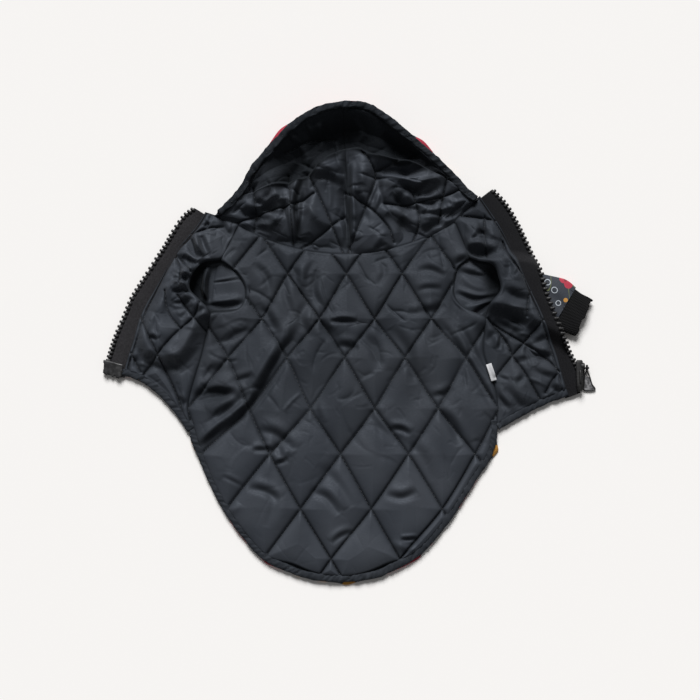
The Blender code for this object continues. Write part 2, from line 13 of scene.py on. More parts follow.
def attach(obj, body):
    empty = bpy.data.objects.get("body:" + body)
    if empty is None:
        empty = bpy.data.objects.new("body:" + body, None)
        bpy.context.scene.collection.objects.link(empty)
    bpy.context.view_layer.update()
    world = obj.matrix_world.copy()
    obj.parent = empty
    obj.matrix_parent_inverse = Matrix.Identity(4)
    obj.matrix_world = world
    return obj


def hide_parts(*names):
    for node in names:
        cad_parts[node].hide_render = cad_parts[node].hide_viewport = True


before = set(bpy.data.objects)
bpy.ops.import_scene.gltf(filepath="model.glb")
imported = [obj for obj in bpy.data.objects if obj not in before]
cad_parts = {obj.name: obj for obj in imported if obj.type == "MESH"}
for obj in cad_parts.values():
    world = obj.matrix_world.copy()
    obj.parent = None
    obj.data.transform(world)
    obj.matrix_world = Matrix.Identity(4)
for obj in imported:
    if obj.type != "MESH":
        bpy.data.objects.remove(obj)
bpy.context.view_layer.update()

# Dog winter coat, unzipped and laid out flat with its quilted lining up.
# Tables are in millimetres in the plan of the cut pieces: the hood is towards +Y, the tail
# towards -Y. SHIFT takes them to the frame, where the coat's box is centred.

MM = 0.001
SHIFT = (-0.55, 0.284)
OUTER = 1.2  # height of the printed outer cloth below the lining
ROLL = 3.7  # how far inside the outline the lining meets the rolled hem
TURN = 2 * math.pi
log = logging.getLogger("coat")

Path = Sequence[tuple[float, float]]
Triple = tuple[float, float, float]
Array = np.ndarray
Material, Thing = bpy.types.Material, bpy.types.Object


class Side(Enum):
    """The coat's left and right as it lies, seen from above."""

    LEFT = -1
    RIGHT = 1

    @property
    def word(self) -> str:
        """The side's name in piece and node names."""
        return self.name.lower()


# ---------------------------------------------------------------- shader graph


def operator(kind: str, swapped: bool = False) -> Callable[["Signal", Any], "Signal"]:
    """A method that adds one Math node, its two values in order or swapped.

    Args:
        kind: the node's operation.
        swapped: whether the number comes first.

    Returns:
        The method.
    """

    def apply(signal: "Signal", other: Any) -> "Signal":
        """The result of the operation."""
        return signal.maths(kind, *((other, signal) if swapped else (signal, other)))

    return apply


class Signal:
    """One output of a shader graph, so that shader maths reads as plain expressions."""

    def __init__(self, graph: "Graph", socket: bpy.types.NodeSocket) -> None:
        """Keeps the graph and the output socket."""
        self.graph, self.socket = graph, socket

    def maths(self, kind: str, *values: Any) -> "Signal":
        """One Math node of a kind, fed with numbers or signals in order."""
        return self.graph.node("ShaderNodeMath", {"operation": kind}, dict(enumerate(values)))

    __add__, __radd__ = operator("ADD"), operator("ADD", True)
    __sub__, __rsub__ = operator("SUBTRACT"), operator("SUBTRACT", True)
    __mul__, __rmul__ = operator("MULTIPLY"), operator("MULTIPLY", True)
    __truediv__, __rtruediv__ = operator("DIVIDE"), operator("DIVIDE", True)

    def sine(self) -> "Signal":
        """Its sine."""
        return self.maths("SINE", self)

    def fraction(self) -> "Signal":
        """What is left over after its whole part."""
        return self.maths("FRACT", self)

    def size(self) -> "Signal":
        """Its size without its sign."""
        return self.maths("ABSOLUTE", self)

    def above(self, limit: Any) -> "Signal":
        """1 where it is over a limit, else 0."""
        return self.maths("GREATER_THAN", self, limit)

    def between(self, low: float, high: float) -> "Signal":
        """Rises smoothly from 0 to 1 as it goes from low to high.

        Args:
            low: where it is still 0.
            high: where it has reached 1.

        Returns:
            The share.
        """
        inputs = {"Value": self, "From Min": low, "From Max": high}
        return self.graph.node("ShaderNodeMapRange", {"interpolation_type": "SMOOTHSTEP"}, inputs)

    def blend(self, first: Any, second: Any) -> "Signal":
        """A colour mix that this signal drives.

        Args:
            first: the colour where the signal is 0.
            second: the colour where it is 1.

        Returns:
            The mixed colour.
        """
        return self.graph.node(
            "ShaderNodeMix", {"data_type": "RGBA"}, {0: self, 6: first, 7: second}, output=2
        )


class Graph:
    """A material's node graph with a Principled surface."""

    def __init__(self, name: str) -> None:
        """Starts a material with only its output and its Principled shader."""
        self.material = bpy.data.materials.new(name)
        self.material.use_nodes = True
        self.tree = self.material.node_tree
        self.shader = self.tree.nodes["Principled BSDF"]

    def node(
        self, kind: str, settings: dict | None = None, inputs: dict | None = None, output: Any = 0
    ) -> Signal:
        """Adds a node.

        Args:
            kind: the node's type.
            settings: attributes, set before the inputs.
            inputs: socket names or numbers to values or signals.
            output: the output's name or number.

        Returns:
            The output as a signal.
        """
        made = self.tree.nodes.new(kind)
        for key, value in (settings or {}).items():
            setattr(made, key, value)
        for key, value in (inputs or {}).items():
            self.feed(made.inputs[key], value)
        return Signal(self, made.outputs[output])

    def feed(self, socket: bpy.types.NodeSocket, value: Any) -> None:
        """Gives a socket a signal, a number, a colour or a vector."""
        if isinstance(value, Signal):
            self.tree.links.new(value.socket, socket)
        elif isinstance(value, tuple) and len(value) == 3 and socket.type == "RGBA":
            socket.default_value = (*value, 1.0)
        else:
            socket.default_value = value

    def place(self, stretch: Triple = (1, 1, 1), turn: float = 0.0) -> Signal:
        """Object coordinates.

        Args:
            stretch: scale along each axis.
            turn: turn about Z in radians.

        Returns:
            The coordinates.
        """
        here = self.node("ShaderNodeTexCoord", output="Object")
        inputs = {"Vector": here, "Rotation": (0, 0, turn), "Scale": stretch}
        return self.node("ShaderNodeMapping", None, inputs)

    def noise(self, vector: Signal, scale: float, detail: float = 2.0, output: int = 0) -> Signal:
        """Noise of a scale in turns per metre."""
        inputs = {"Vector": vector, "Scale": scale, "Detail": detail}
        return self.node("ShaderNodeTexNoise", None, inputs, output)

    def axis(self, vector: Signal, letter: str) -> Signal:
        """One coordinate of a vector."""
        return self.node("ShaderNodeSeparateXYZ", None, {0: vector}, "XYZ".index(letter))

    def stored(self, name: str) -> Signal:
        """A value kept on the mesh's points."""
        return self.node("ShaderNodeAttribute", {"attribute_name": name}, output="Fac")

    def relief(
        self, height: Signal, distance: float, strength: float, under: Signal | None = None
    ) -> Signal:
        """A bump.

        Args:
            height: the height signal.
            distance: metres of relief where the height is 1.
            strength: its strength.
            under: a bump that it lies on.

        Returns:
            The normal.
        """
        inputs = {"Height": height, "Distance": distance, "Strength": strength}
        if under is not None:
            inputs["Normal"] = under
        return self.node("ShaderNodeBump", None, inputs)

    def weave(self, rate: float) -> Signal:
        """The relief of a plain weave, with its rate in radians per metre."""
        here = self.place()
        return (self.axis(here, "X") * rate).sine() * (self.axis(here, "Y") * rate).sine()

    def finish(self, **sockets: Any) -> None:
        """Feeds the Principled shader; underscores stand for spaces in socket names."""
        for name, value in sockets.items():
            self.feed(self.shader.inputs[name.replace("_", " ")], value)


# ---------------------------------------------------------------- finishes


@dataclass(frozen=True)
class Finish:
    """A finish, made once and shared by the pieces that have it."""

    name: str = ""

    def dress(self, g: Graph) -> None:
        """Makes the finish in its graph."""

    def material(self) -> Material:
        """Builds the material.

        Returns:
            The material.
        """
        g = Graph(self.name)
        self.dress(g)
        return g.material


@dataclass(frozen=True)
class QuiltedNylon(Finish):
    """Satin-faced nylon taffeta over wadding."""

    name: str = "quilted nylon"
    # lit and shaded are the lit and the shaded tone of one cloth: painted light and shade
    lit: Triple = (0.0385, 0.0430, 0.0515)
    shaded: Triple = (0.0275, 0.0315, 0.0390)
    # near-black colour of the painted shade in stitching lines, folds and pockets
    groove_shade: Triple = (0.004, 0.005, 0.006)
    roughness: float = 0.60

    def dress(self, g: Graph) -> None:
        """Makes the finish.

        Args:
            g: its graph.
        """
        here = g.place()
        broad = g.noise(here, 28.0, 3.0)
        cavity = g.stored("cavity")
        # Painted light and shade: a broad random mottle between the lit and the shaded tone.
        colour = broad.between(0.35, 0.7).blend(self.shaded, self.lit)
        # Painted shade: the value kept on the mesh darkens the cloth towards near black and
        # roughens it.
        colour = cavity.blend(colour, self.groove_shade)
        crinkle = g.noise(here, 210.0, 4.0)
        fine = g.noise(g.place((1, 2.4, 1), 0.6), 620.0, 3.0)
        first = g.relief(crinkle, 0.0004, 0.12)
        second = g.relief(fine, 0.00012, 0.25, first)
        woven = g.relief(g.weave(9000.0), 0.00003, 0.35, second)
        rough = fine.between(0.3, 0.75) * 0.12 + (self.roughness - 0.05) + cavity * 0.25
        g.finish(
            Base_Color=colour, Roughness=rough, Normal=woven,
            Sheen_Weight=0.02, Sheen_Roughness=0.4, Specular_IOR_Level=0.26,
            Specular_Tint=(0.78, 0.86, 1.0, 1.0),
        )


@dataclass(frozen=True)
class PrintedCloth(Finish):
    """Matt woven cloth with a scattered print of dabs, rings, bars and vines on navy."""

    name: str = "printed cloth"
    ground: Triple = (0.0115, 0.017, 0.028)
    red: Triple = (0.400, 0.018, 0.045)
    mustard: Triple = (0.520, 0.250, 0.040)
    pale: Triple = (0.420, 0.460, 0.500)
    olive: Triple = (0.110, 0.130, 0.040)
    wine: Triple = (0.180, 0.010, 0.020)
    mottle: Triple = (0.017, 0.0235, 0.036)
    placed: tuple[tuple[float, float, float, str], ...] = (
        # x, y, radius and colour of the larger dabs near the edges
        (31, -143, 9, "red"), (40, -138, 6, "red"), (0, -152, 5, "mustard"), (-49, -140, 4, "red"),
        (-32, -147, 3, "mustard"), (88.5, -68.5, 4, "mustard"), (-45, 129, 8, "red"),
        (47, 122, 7, "red"), (133.5, 38.5, 3, "red"), (136.3, 34.8, 2.8, "red"),
        (134.6, 37.6, 1, "wine"), (134.2, 24.6, 1.4, "mustard"),
    )
    rings: tuple[Triple, ...] = ((123.2, 36, 2.1), (127.4, 31, 2.1), (129.6, 22.8, 1.8))
    ring_width: float = 0.5

    def dabs(self, g: Graph, scale: float, size: float, share: float, seed: float) -> Signal:
        """Scattered round dabs.

        Args:
            g: the graph.
            scale: dabs per metre.
            size: their radius as a share of their spacing.
            share: how many of the places stay bare.
            seed: shifts the pattern.

        Returns:
            1 on a dab, else 0.
        """
        shift = {0: g.place(), 1: (seed, seed, 0)}
        place = g.node("ShaderNodeVectorMath", {"operation": "ADD"}, shift)
        inputs = {"Vector": place, "Scale": scale, "Randomness": 0.85}
        flat = {"voronoi_dimensions": "2D"}
        near = g.node("ShaderNodeTexVoronoi", flat, inputs, "Distance")
        pick = g.node("ShaderNodeTexVoronoi", flat, inputs, "Color")
        chosen = g.axis(pick, "X").above(share)
        return (1.0 - near.between(size * 0.88, size)) * chosen

    def dress(self, g: Graph) -> None:
        """Makes the finish.

        Args:
            g: its graph.
        """
        here = g.place()
        mottle = g.noise(here, 60.0, 2.0).between(0.3, 0.8)
        colour = mottle.blend(self.ground, self.mottle)
        colour = self.dabs(g, 34.0, 0.46, 0.55, 0.213).blend(colour, self.red)
        colour = self.dabs(g, 34.0, 0.22, 0.55, 0.213).blend(colour, self.wine)
        colour = self.dabs(g, 52.0, 0.22, 0.62, 0.377).blend(colour, self.mustard)
        leaning = g.place(turn=0.7)
        bars = (g.axis(leaning, "X") * 110.0).fraction()
        gate = (g.axis(leaning, "Y") * 46.0).fraction()
        stroke = (1.0 - bars.above(0.09)) * gate.above(0.62)
        patch = g.noise(here, 21.0, 0.0).above(0.55)
        colour = (stroke * patch).blend(colour, self.pale)
        vine = g.noise(g.place((1, 0.35, 1), 0.5), 60.0, 1.0)
        line = (1.0 - vine.between(0.495, 0.500)) * vine.between(0.485, 0.490)
        colour = line.blend(colour, self.olive)
        pale = [(x, y, size, "pale") for x, y, size in self.rings]
        bare = [(x, y, size - self.ring_width, "ground") for x, y, size in self.rings]
        rings = [dab for pair in zip(pale, bare) for dab in pair]
        for x, y, radius, name in (*self.placed, *rings):
            centre = ((x + SHIFT[0]) * MM, (y + SHIFT[1]) * MM, 0.0)
            flat = g.place((1, 1, 0))
            ends = {0: flat, 1: centre}
            gap = g.node("ShaderNodeVectorMath", {"operation": "DISTANCE"}, ends, 1)
            uneven = gap + (g.noise(here, 300.0, 1.0) - 0.5) * (0.00025 * min(radius, 6.0))
            disc = 1.0 - uneven.between(radius * MM * 0.93, radius * MM)
            colour = disc.blend(colour, getattr(self, name))
        woven = g.relief(g.weave(7000.0), 0.00008, 0.6)
        rough = mottle * 0.15 + 0.62
        g.finish(Base_Color=colour, Roughness=rough, Normal=woven, Sheen_Weight=0.03)


@dataclass(frozen=True)
class ZipWebbing(Finish):
    """Woven zip tape, with a herringbone relief."""

    name: str = "zip webbing"
    colour: Triple = (0.006, 0.006, 0.0075)
    fleck: Triple = (0.010, 0.010, 0.012)

    def dress(self, g: Graph) -> None:
        """Makes the finish.

        Args:
            g: its graph.
        """
        across, lengthways = g.stored("across"), g.stored("along")
        chevron = ((across * 0.9).fraction() - 0.5).size()
        ribs = ((lengthways * 1.6 + chevron * 2.0) * TURN).sine()
        shade = g.noise(g.place(), 900.0, 2.0).between(0.35, 0.7)
        colour = shade.blend(self.colour, self.fleck)
        g.finish(
            Base_Color=colour, Roughness=shade * 0.1 + 0.78,
            Normal=g.relief(ribs, 0.00012, 0.7), Sheen_Weight=0.03, Specular_IOR_Level=0.2,
        )


@dataclass(frozen=True)
class MouldedPlastic(Finish):
    """Moulded acetal, faintly pitted."""

    name: str = "moulded plastic"
    colour: Triple = (0.0030, 0.0030, 0.0035)
    roughness: float = 0.48

    def dress(self, g: Graph) -> None:
        """Makes the finish.

        Args:
            g: its graph.
        """
        pits = g.noise(g.place(), 1500.0, 3.0)
        scuff = g.noise(g.place((1, 3, 1)), 260.0, 4.0).between(0.45, 0.7)
        colour = scuff.blend(self.colour, tuple(2.0 * c for c in self.colour))
        g.finish(
            Base_Color=colour, Roughness=scuff * 0.18 + self.roughness,
            Normal=g.relief(pits, 0.00006, 0.5),
        )


@dataclass(frozen=True)
class RibKnit(Finish):
    """Black rib-knit cuff yarn."""

    name: str = "rib knit"
    colour: Triple = (0.0065, 0.0065, 0.007)
    raised: Triple = (0.008, 0.008, 0.009)

    def dress(self, g: Graph) -> None:
        """Makes the finish.

        Args:
            g: its graph.
        """
        loops = ((g.stored("along") * 1.35 + g.stored("across") * 0.5) * TURN).sine()
        fuzz = g.noise(g.place(), 1400.0, 3.0)
        colour = fuzz.between(0.35, 0.75).blend(self.colour, self.raised)
        normal = g.relief(fuzz, 0.0002, 0.5, g.relief(loops, 0.0002, 0.7))
        g.finish(
            Base_Color=colour, Roughness=fuzz * 0.1 + 0.84, Normal=normal, Sheen_Weight=0.03,
            Specular_IOR_Level=0.15,
        )


@dataclass(frozen=True)
class Satin(Finish):
    """Pale satin label cloth, blank."""

    name: str = "label satin"
    colour: Triple = (0.560, 0.565, 0.580)
    shade: Triple = (0.420, 0.425, 0.440)

    def dress(self, g: Graph) -> None:
        """Makes the finish.

        Args:
            g: its graph.
        """
        threads = (g.axis(g.place(turn=0.3), "X") * 16000.0).sine()
        soft = g.noise(g.place(), 300.0, 2.0).between(0.3, 0.7)
        g.finish(
            Base_Color=soft.blend(self.shade, self.colour), Roughness=soft * 0.1 + 0.35,
            Normal=g.relief(threads, 0.00004, 0.6), Sheen_Weight=0.1,
        )


@dataclass(frozen=True)
class Thread(Finish):
    """Black polyester sewing thread."""

    name: str = "sewing thread"
    colour: Triple = (0.012, 0.013, 0.015)

    def dress(self, g: Graph) -> None:
        """Makes the finish.

        Args:
            g: its graph.
        """
        twist = g.noise(g.place(), 4000.0, 1.0)
        colour = twist.between(0.4, 0.6).blend(self.colour, tuple(1.8 * c for c in self.colour))
        g.finish(
            Base_Color=colour, Roughness=twist * 0.2 + 0.4, Normal=g.relief(twist, 0.00005, 0.5)
        )


@dataclass(frozen=True)
class TapeFilm(Finish):
    """Clear stiffening film over the foot of a zip tape."""

    name: str = "tape film"
    colour: Triple = (0.014, 0.014, 0.015)
    glint: Triple = (0.034, 0.034, 0.036)

    def dress(self, g: Graph) -> None:
        """Makes the finish.

        Args:
            g: its graph.
        """
        cloudy = g.noise(g.place(), 420.0, 3.0).between(0.4, 0.7)
        colour = cloudy.blend(self.colour, self.glint)
        g.finish(
            Base_Color=colour, Roughness=cloudy * 0.2 + 0.45,
            Normal=g.relief(cloudy, 0.0001, 0.4), Coat_Weight=0.1, Coat_Roughness=0.4,
        )


@dataclass(frozen=True)
class Backdrop(Finish):
    """Plain pale paper."""

    name: str = "pale paper"
    colour: Triple = (0.940, 0.922, 0.905)

    def dress(self, g: Graph) -> None:
        """Makes the finish.

        Args:
            g: its graph.
        """
        g.finish(Base_Color=self.colour, Roughness=0.9, Specular_IOR_Level=0.1)


# ---------------------------------------------------------------- plan geometry


def smooth(share: Array | float) -> Array:
    """Rises gently from 0 to 1 while share goes from 0 to 1."""
    share = np.clip(share, 0.0, 1.0)
    return share * share * (3.0 - 2.0 * share)


def bell(gap: Array | float, width: float) -> Array:
    """1 where the gap is 0, falling away over a width."""
    return np.exp(-((gap / width) ** 2))


def unit(vectors: Array) -> Array:
    """The vectors at length 1."""
    return vectors / np.maximum(np.linalg.norm(vectors, axis=-1, keepdims=True), 1e-9)


def length_of(path: Array) -> float:
    """The length of a path."""
    return float(np.linalg.norm(np.diff(path, axis=0), axis=1).sum())


def angles(count: int) -> Array:
    """Equal steps round a circle."""
    return np.linspace(0, TURN, count, endpoint=False)


def along(points: Any, count: int) -> Array:
    """A path of rows resampled at equal steps, rounded through its rows.

    Args:
        points: the rows, each of any number of columns.
        count: how many rows to make.

    Returns:
        The rows.
    """
    points = np.asarray(points, float)
    if len(points) > 2:
        before, after = 2 * points[0] - points[1], 2 * points[-1] - points[-2]
        knots = np.concatenate([[before], points, [after]])
        parts = []
        for p0, p1, p2, p3 in zip(knots[:-3], knots[1:-2], knots[2:-1], knots[3:]):
            t = np.linspace(0.0, 1.0, 9)[:-1, None]
            parts.append(
                0.5 * (2 * p1 + (p2 - p0) * t + (2 * p0 - 5 * p1 + 4 * p2 - p3) * t**2
                       + (3 * p1 - p0 - 3 * p2 + p3) * t**3)
            )
        points = np.concatenate(parts + [points[-1:]])
    steps = np.linalg.norm(np.diff(points, axis=0), axis=1)
    at = np.concatenate([[0.0], np.cumsum(steps)])
    wanted = np.linspace(0.0, at[-1], count)
    return np.stack([np.interp(wanted, at, points[:, k]) for k in range(points.shape[1])], axis=1)


def shifted(path: Array, distance: float) -> Array:
    """The flat path moved to its left by a distance."""
    ahead = unit(np.gradient(path[:, :2], axis=0))
    return path[:, :2] + distance * np.stack([-ahead[:, 1], ahead[:, 0]], axis=1)


def to_path(x: Array, y: Array, path: Any) -> tuple[Array, Array, Array]:
    """Nearest point of a path.

    Args:
        x: points' X.
        y: points' Y.
        path: the path's points.

    Returns:
        The distance, how far along the path it is from 0 to 1, and 1 on its left or -1.
    """
    path = np.asarray(path, float)
    best = np.full(np.shape(x), 1e9)
    share = np.zeros(np.shape(x))
    turn = np.ones(np.shape(x))
    lengths = np.linalg.norm(np.diff(path, axis=0), axis=1)
    total, done = lengths.sum(), 0.0
    for (ax, ay), (bx, by), length in zip(path[:-1], path[1:], lengths):
        dx, dy = bx - ax, by - ay
        t = np.clip(((x - ax) * dx + (y - ay) * dy) / max(length * length, 1e-9), 0.0, 1.0)
        gap = np.hypot(x - ax - t * dx, y - ay - t * dy)
        nearer = gap < best
        best = np.where(nearer, gap, best)
        share = np.where(nearer, (done + t * length) / total, share)
        turn = np.where(nearer, np.sign(dx * (y - ay) - dy * (x - ax)), turn)
        done += length
    return best, share, turn


def to_lines(x: Array, y: Array, lines: Sequence[Any]) -> Array:
    """Distance to the nearest of several paths."""
    best = np.full(np.shape(x), 1e9)
    for line in lines:
        best = np.minimum(best, to_path(x, y, line)[0])
    return best


def waves(x: Array, y: Array, length: float, seed: int) -> Array:
    """Smooth irregular relief about 1 high.

    Args:
        x: points' X.
        y: points' Y.
        length: about the distance from crest to crest.
        seed: picks the pattern.

    Returns:
        The relief.
    """
    draw = np.random.default_rng(seed)
    total = np.zeros(np.shape(x))
    for _ in range(7):
        turn, phase = draw.uniform(0, TURN, 2)
        pitch = length * draw.uniform(0.7, 1.5)
        total += np.sin((x * math.cos(turn) + y * math.sin(turn)) * TURN / pitch + phase)
    return total / 4.0


SLEEVE_RUNS = (
    # the part of each sleeve that lies under its flap, and how far it reaches to each side
    (((-95.5, 29), (-102, 21.5), (-107, 13), (-110, 7), (-112.5, 1.5)), 12),
    (((96, 35), (108, 33.5), (120, 27.5), (130.5, 20.5), (137, 17.2), (143, 14.2)), 14),
)
SLEEVE_LIFT, LIFT_RISE = 6.5, 9.0


def lift(x: Array, y: Array) -> Array:
    """Height at which the outer cloth lies: over the flattened sleeves, else on the ground."""
    height = np.zeros(np.shape(x))
    for path, reach in SLEEVE_RUNS:
        away = to_path(x, y, path)[0] - reach
        height = np.maximum(height, SLEEVE_LIFT * smooth(1.0 - away / LIFT_RISE))
    return height


def crumple(x: Array, y: Array, length: float, seed: int) -> Array:
    """Relief of cloth that has been crushed: long wandering creases with a step across them.

    Args:
        x: points' X.
        y: points' Y.
        length: about the distance between creases.
        seed: picks the pattern.

    Returns:
        The relief, about 1 high.
    """
    total = 0.75 * waves(x, 0.62 * y, length, seed)
    for k, turn in enumerate((0.3, 1.2, 2.1)):
        run = x * math.cos(turn) + y * math.sin(turn)
        bend = waves(x, y, 2.2 * length, seed + k + 1)
        ridge = np.exp(-6.0 * np.abs(np.sin(math.pi * run / length + 1.6 * bend)))
        there = smooth((waves(x, y, 0.9 * length, seed + k + 5) - 0.1) / 0.5)
        total = total - 0.6 * ridge * there
    return total


@dataclass(frozen=True)
class Crease:
    """A soft trough with a lip on its +Y side, or a ridge, deepest in its middle."""

    path: Path
    depth: float
    width: float
    lip: float = 0.6

    def relief(self, x: Array, y: Array) -> Array:
        """Its height at each point.

        Args:
            x: points' X.
            y: points' Y.

        Returns:
            The height, below 0 in a trough.
        """
        path = along(self.path, 14)
        reach = 5.0 * self.width
        height = np.zeros(np.shape(x))
        near = (x > path[:, 0].min() - reach) & (x < path[:, 0].max() + reach)
        near &= (y > path[:, 1].min() - reach) & (y < path[:, 1].max() + reach)
        if not near.any():
            return height
        gap, share, turn = to_path(x[near], y[near], path)
        upward = turn * (1.0 if path[-1, 0] >= path[0, 0] else -1.0) * gap
        fade = np.sin(math.pi * np.clip(share, 0.0, 1.0)) ** 0.7
        shape = bell(gap, self.width)
        if self.depth < 0:
            shape -= self.lip * bell(upward - 1.9 * self.width, 1.25 * self.width)
        height[near] = self.depth * shape * fade
        return height


def creases(*rows: tuple[float, ...]) -> list[Crease]:
    """Creases from rows of numbers.

    Args:
        rows: x and y of each point, then the depth, the width and, where it isn't usual, the lip.

    Returns:
        The creases.
    """
    made = []
    for row in rows:
        end = (len(row) - 2) // 2 * 2
        made.append(Crease(tuple(zip(row[0:end:2], row[1:end:2])), *row[end:]))
    return made


def puckers(lines: Sequence[Array], count: int, seed: int) -> list[Crease]:
    """Small uneven puckers that run out from stitching lines.

    Args:
        lines: the stitching lines.
        count: how many.
        seed: picks their places.

    Returns:
        The creases.
    """
    draw = np.random.default_rng(seed)
    made = []
    for _ in range(count):
        line = lines[int(draw.integers(len(lines)))]
        at = int(draw.integers(1, len(line) - 1))
        ahead = line[at] - line[at - 1]
        heading = math.atan2(ahead[1], ahead[0]) + draw.choice((-1, 1)) * draw.uniform(0.6, 1.9)
        length = draw.uniform(5.0, 18.0)
        bend = draw.uniform(-0.5, 0.5)
        x, y = line[at][:2]
        path = [(x, y)]
        for step in (0.5, 1.0):
            turned, far = heading + bend * step, length * step
            path.append((x + far * math.cos(turned), y + far * math.sin(turned)))
        depth = -draw.uniform(0.5, 1.9) if draw.random() < 0.7 else draw.uniform(0.4, 1.3)
        made.append(Crease(tuple(path), depth, draw.uniform(1.0, 2.6)))
    return made


# ---------------------------------------------------------------- cloth


@dataclass
class Settling:
    """Settles a grid of cloth that is a little too large for the shape under it, so it buckles."""

    rounds: int = 60
    excess: float = 0.014
    push: float = 0.012
    shear: float = 0.6
    bending: float = 0.35
    step: float = 0.42  # share of each correction that a round makes

    def run(self, points: Array, held: Array, floor: Array) -> Array:
        """Runs it.

        Args:
            points: the grid at the start, (rows, columns, 3).
            held: from 0 free to 1 sewn down, (rows, columns).
            floor: the lowest Z of each point.

        Returns:
            The settled grid.
        """
        moved = points.copy()
        free = (1.0 - held)[..., None]
        ties = []
        for down, across, stiff in (
            (0, 1, 1.0), (1, 0, 1.0), (1, 1, self.shear), (1, -1, self.shear),
            (0, 2, self.bending), (2, 0, self.bending),
        ):
            first = (slice(0, points.shape[0] - down),
                     slice(max(0, -across), points.shape[1] - max(0, across)))
            second = (slice(down, points.shape[0]),
                      slice(max(0, across), points.shape[1] + min(0, across)))
            rest = np.linalg.norm(points[second] - points[first], axis=2) * (1 + self.excess)
            ties.append((first, second, np.maximum(rest, 1e-6), stiff))
        for _ in range(self.rounds):
            pull = np.zeros_like(moved)
            for first, second, rest, stiff in ties:
                gap = moved[second] - moved[first]
                length = np.maximum(np.linalg.norm(gap, axis=2), 1e-6)
                change = (gap * ((length - rest) / length)[..., None]) * (0.5 * stiff)
                pull[first] += change
                pull[second] -= change
            moved += pull * (self.step * free)
            moved[..., 2] += self.push * free[..., 0]
            moved[..., 2] = np.maximum(moved[..., 2], floor)
        return moved


def linked(name: str, data: Any) -> Thing:
    """An object of some data, put in the scene."""
    made = bpy.data.objects.new(name, data)
    bpy.context.scene.collection.objects.link(made)
    return made


def keep_values(mesh: Any, stored: dict | None, copies: int = 1) -> None:
    """Keeps values on a mesh's points, by name, the list repeated for each copy of the points."""
    for key, values in (stored or {}).items():
        kept = np.tile(np.asarray(values, np.float32).ravel(), copies)
        mesh.attributes.new(key, "FLOAT", "POINT").data.foreach_set("value", kept)


def grid_object(
    name: str, points: Array, material: Material, stored: dict | None = None,
    under: Array | None = None,
) -> Thing:
    """A smooth cloth object from a grid of points.

    Args:
        name: the object's name.
        points: upper side in millimetres, (rows, columns, 3).
        material: its material.
        stored: values to keep on the points, by name.
        under: lower side, which closes the cloth into a thin wall.

    Returns:
        The object.
    """
    rows, columns = points.shape[:2]
    index = np.arange(rows * columns).reshape(rows, columns)
    a, b = index[:-1, :-1].ravel(), index[1:, :-1].ravel()
    d, e = index[1:, 1:].ravel(), index[:-1, 1:].ravel()
    quads = np.stack([a, b, d, e], axis=1)
    step, across = points[1, 0] - points[0, 0], points[0, 1] - points[0, 0]
    flip = across[0] * step[1] - across[1] * step[0] > 0
    vertices = points.reshape(-1, 3)
    if under is not None:
        count = rows * columns
        loop = np.concatenate([index[:, 0], index[-1, 1:], index[-2::-1, -1], index[0, -2:0:-1]])
        after = np.roll(loop, -1)
        quads = np.concatenate([
            quads, quads[:, ::-1] + count,
            np.stack([after, loop, loop + count, after + count], axis=1),
        ])
        vertices = np.concatenate([vertices, under.reshape(-1, 3)])
    if flip:
        quads = quads[:, ::-1]
    vertices = (vertices + (*SHIFT, 0.0)) * MM
    mesh = bpy.data.meshes.new(name)
    mesh.vertices.add(len(vertices))
    mesh.vertices.foreach_set("co", vertices.astype(np.float32).ravel())
    mesh.loops.add(quads.size)
    mesh.loops.foreach_set("vertex_index", quads.astype(np.int32).ravel())
    mesh.polygons.add(len(quads))
    mesh.polygons.foreach_set("loop_start", np.arange(0, quads.size, 4, dtype=np.int32))
    mesh.polygons.foreach_set("use_smooth", np.ones(len(quads), bool))
    mesh.update(calc_edges=True)
    keep_values(mesh, stored, 1 if under is None else 2)
    mesh.materials.append(material)
    return linked(name, mesh)


def body_object(
    name: str, points: Array, faces: list, material: Material,
    stored: dict | None = None, crisp: bool = False,
) -> Thing:
    """An object from points in millimetres and faces, its faces turned outwards.

    Args:
        name: the object's name.
        points: the points.
        faces: the faces as tuples of point numbers.
        material: its material.
        stored: values to keep on the points, by name.
        crisp: whether its edges stay sharp.

    Returns:
        The object.
    """
    mesh = bpy.data.meshes.new(name)
    placed = (np.asarray(points, float) + (*SHIFT, 0.0)) * MM
    mesh.from_pydata(placed.tolist(), [], faces)
    keep_values(mesh, stored)
    mesh.polygons.foreach_set("use_smooth", [not crisp] * len(mesh.polygons))
    mesh.update()
    mesh.calc_loop_triangles()
    corners = placed[np.array([t.vertices[:] for t in mesh.loop_triangles])]
    if np.linalg.det(corners).sum() < 0:
        mesh.flip_normals()
    mesh.materials.append(material)
    return linked(name, mesh)


# ---------------------------------------------------------------- cut pieces


BACK_TABLE = (
    # x_left, y_left, x_right, y_right, y_middle, hem
    (-69, 72.5, 66, 74.5, 54.5, 0), (-75, 60, 71, 62, 46, 0), (-79, 50.5, 74, 52, 39, 0),
    (-70, 43, 67, 45, 32, 0), (-65, 36, 64.5, 36, 26, 0), (-63.5, 28, 65, 27, 19, 0),
    (-69, 19, 71, 20, 12, 0), (-85, 15.5, 84, 13.5, 7, 0), (-88, 4, 83.5, 4, -2, 0),
    (-91, -10, 83, -9, -13, 0), (-95, -24, 88, -24, -26, 0), (-99, -42, 91.5, -42, -42, 0),
    (-99, -58, 92, -57, -58, 1), (-93, -74, 88.5, -72, -74, 1), (-84, -94, 78, -88, -92, 1),
    (-76, -108, 68, -104, -108, 1), (-66, -122, 57, -119, -124, 1),
    (-52, -136.5, 42, -134.6, -138, 1), (-32, -146, 20, -146.4, -149.8, 1),
)
QUILT_ROWS = (
    # y of a row of crossings, x of its middle, spacing of the columns; odd rows fall between
    (68, -2, 17.5), (41, -2.5, 17.8), (14, -1.5, 17.7), (-12, -2, 18.4), (-42, -3.8, 19.3),
    (-72, -6, 21), (-104, -8.5, 22), (-136, -10.5, 21), (-168, -12, 21),
)
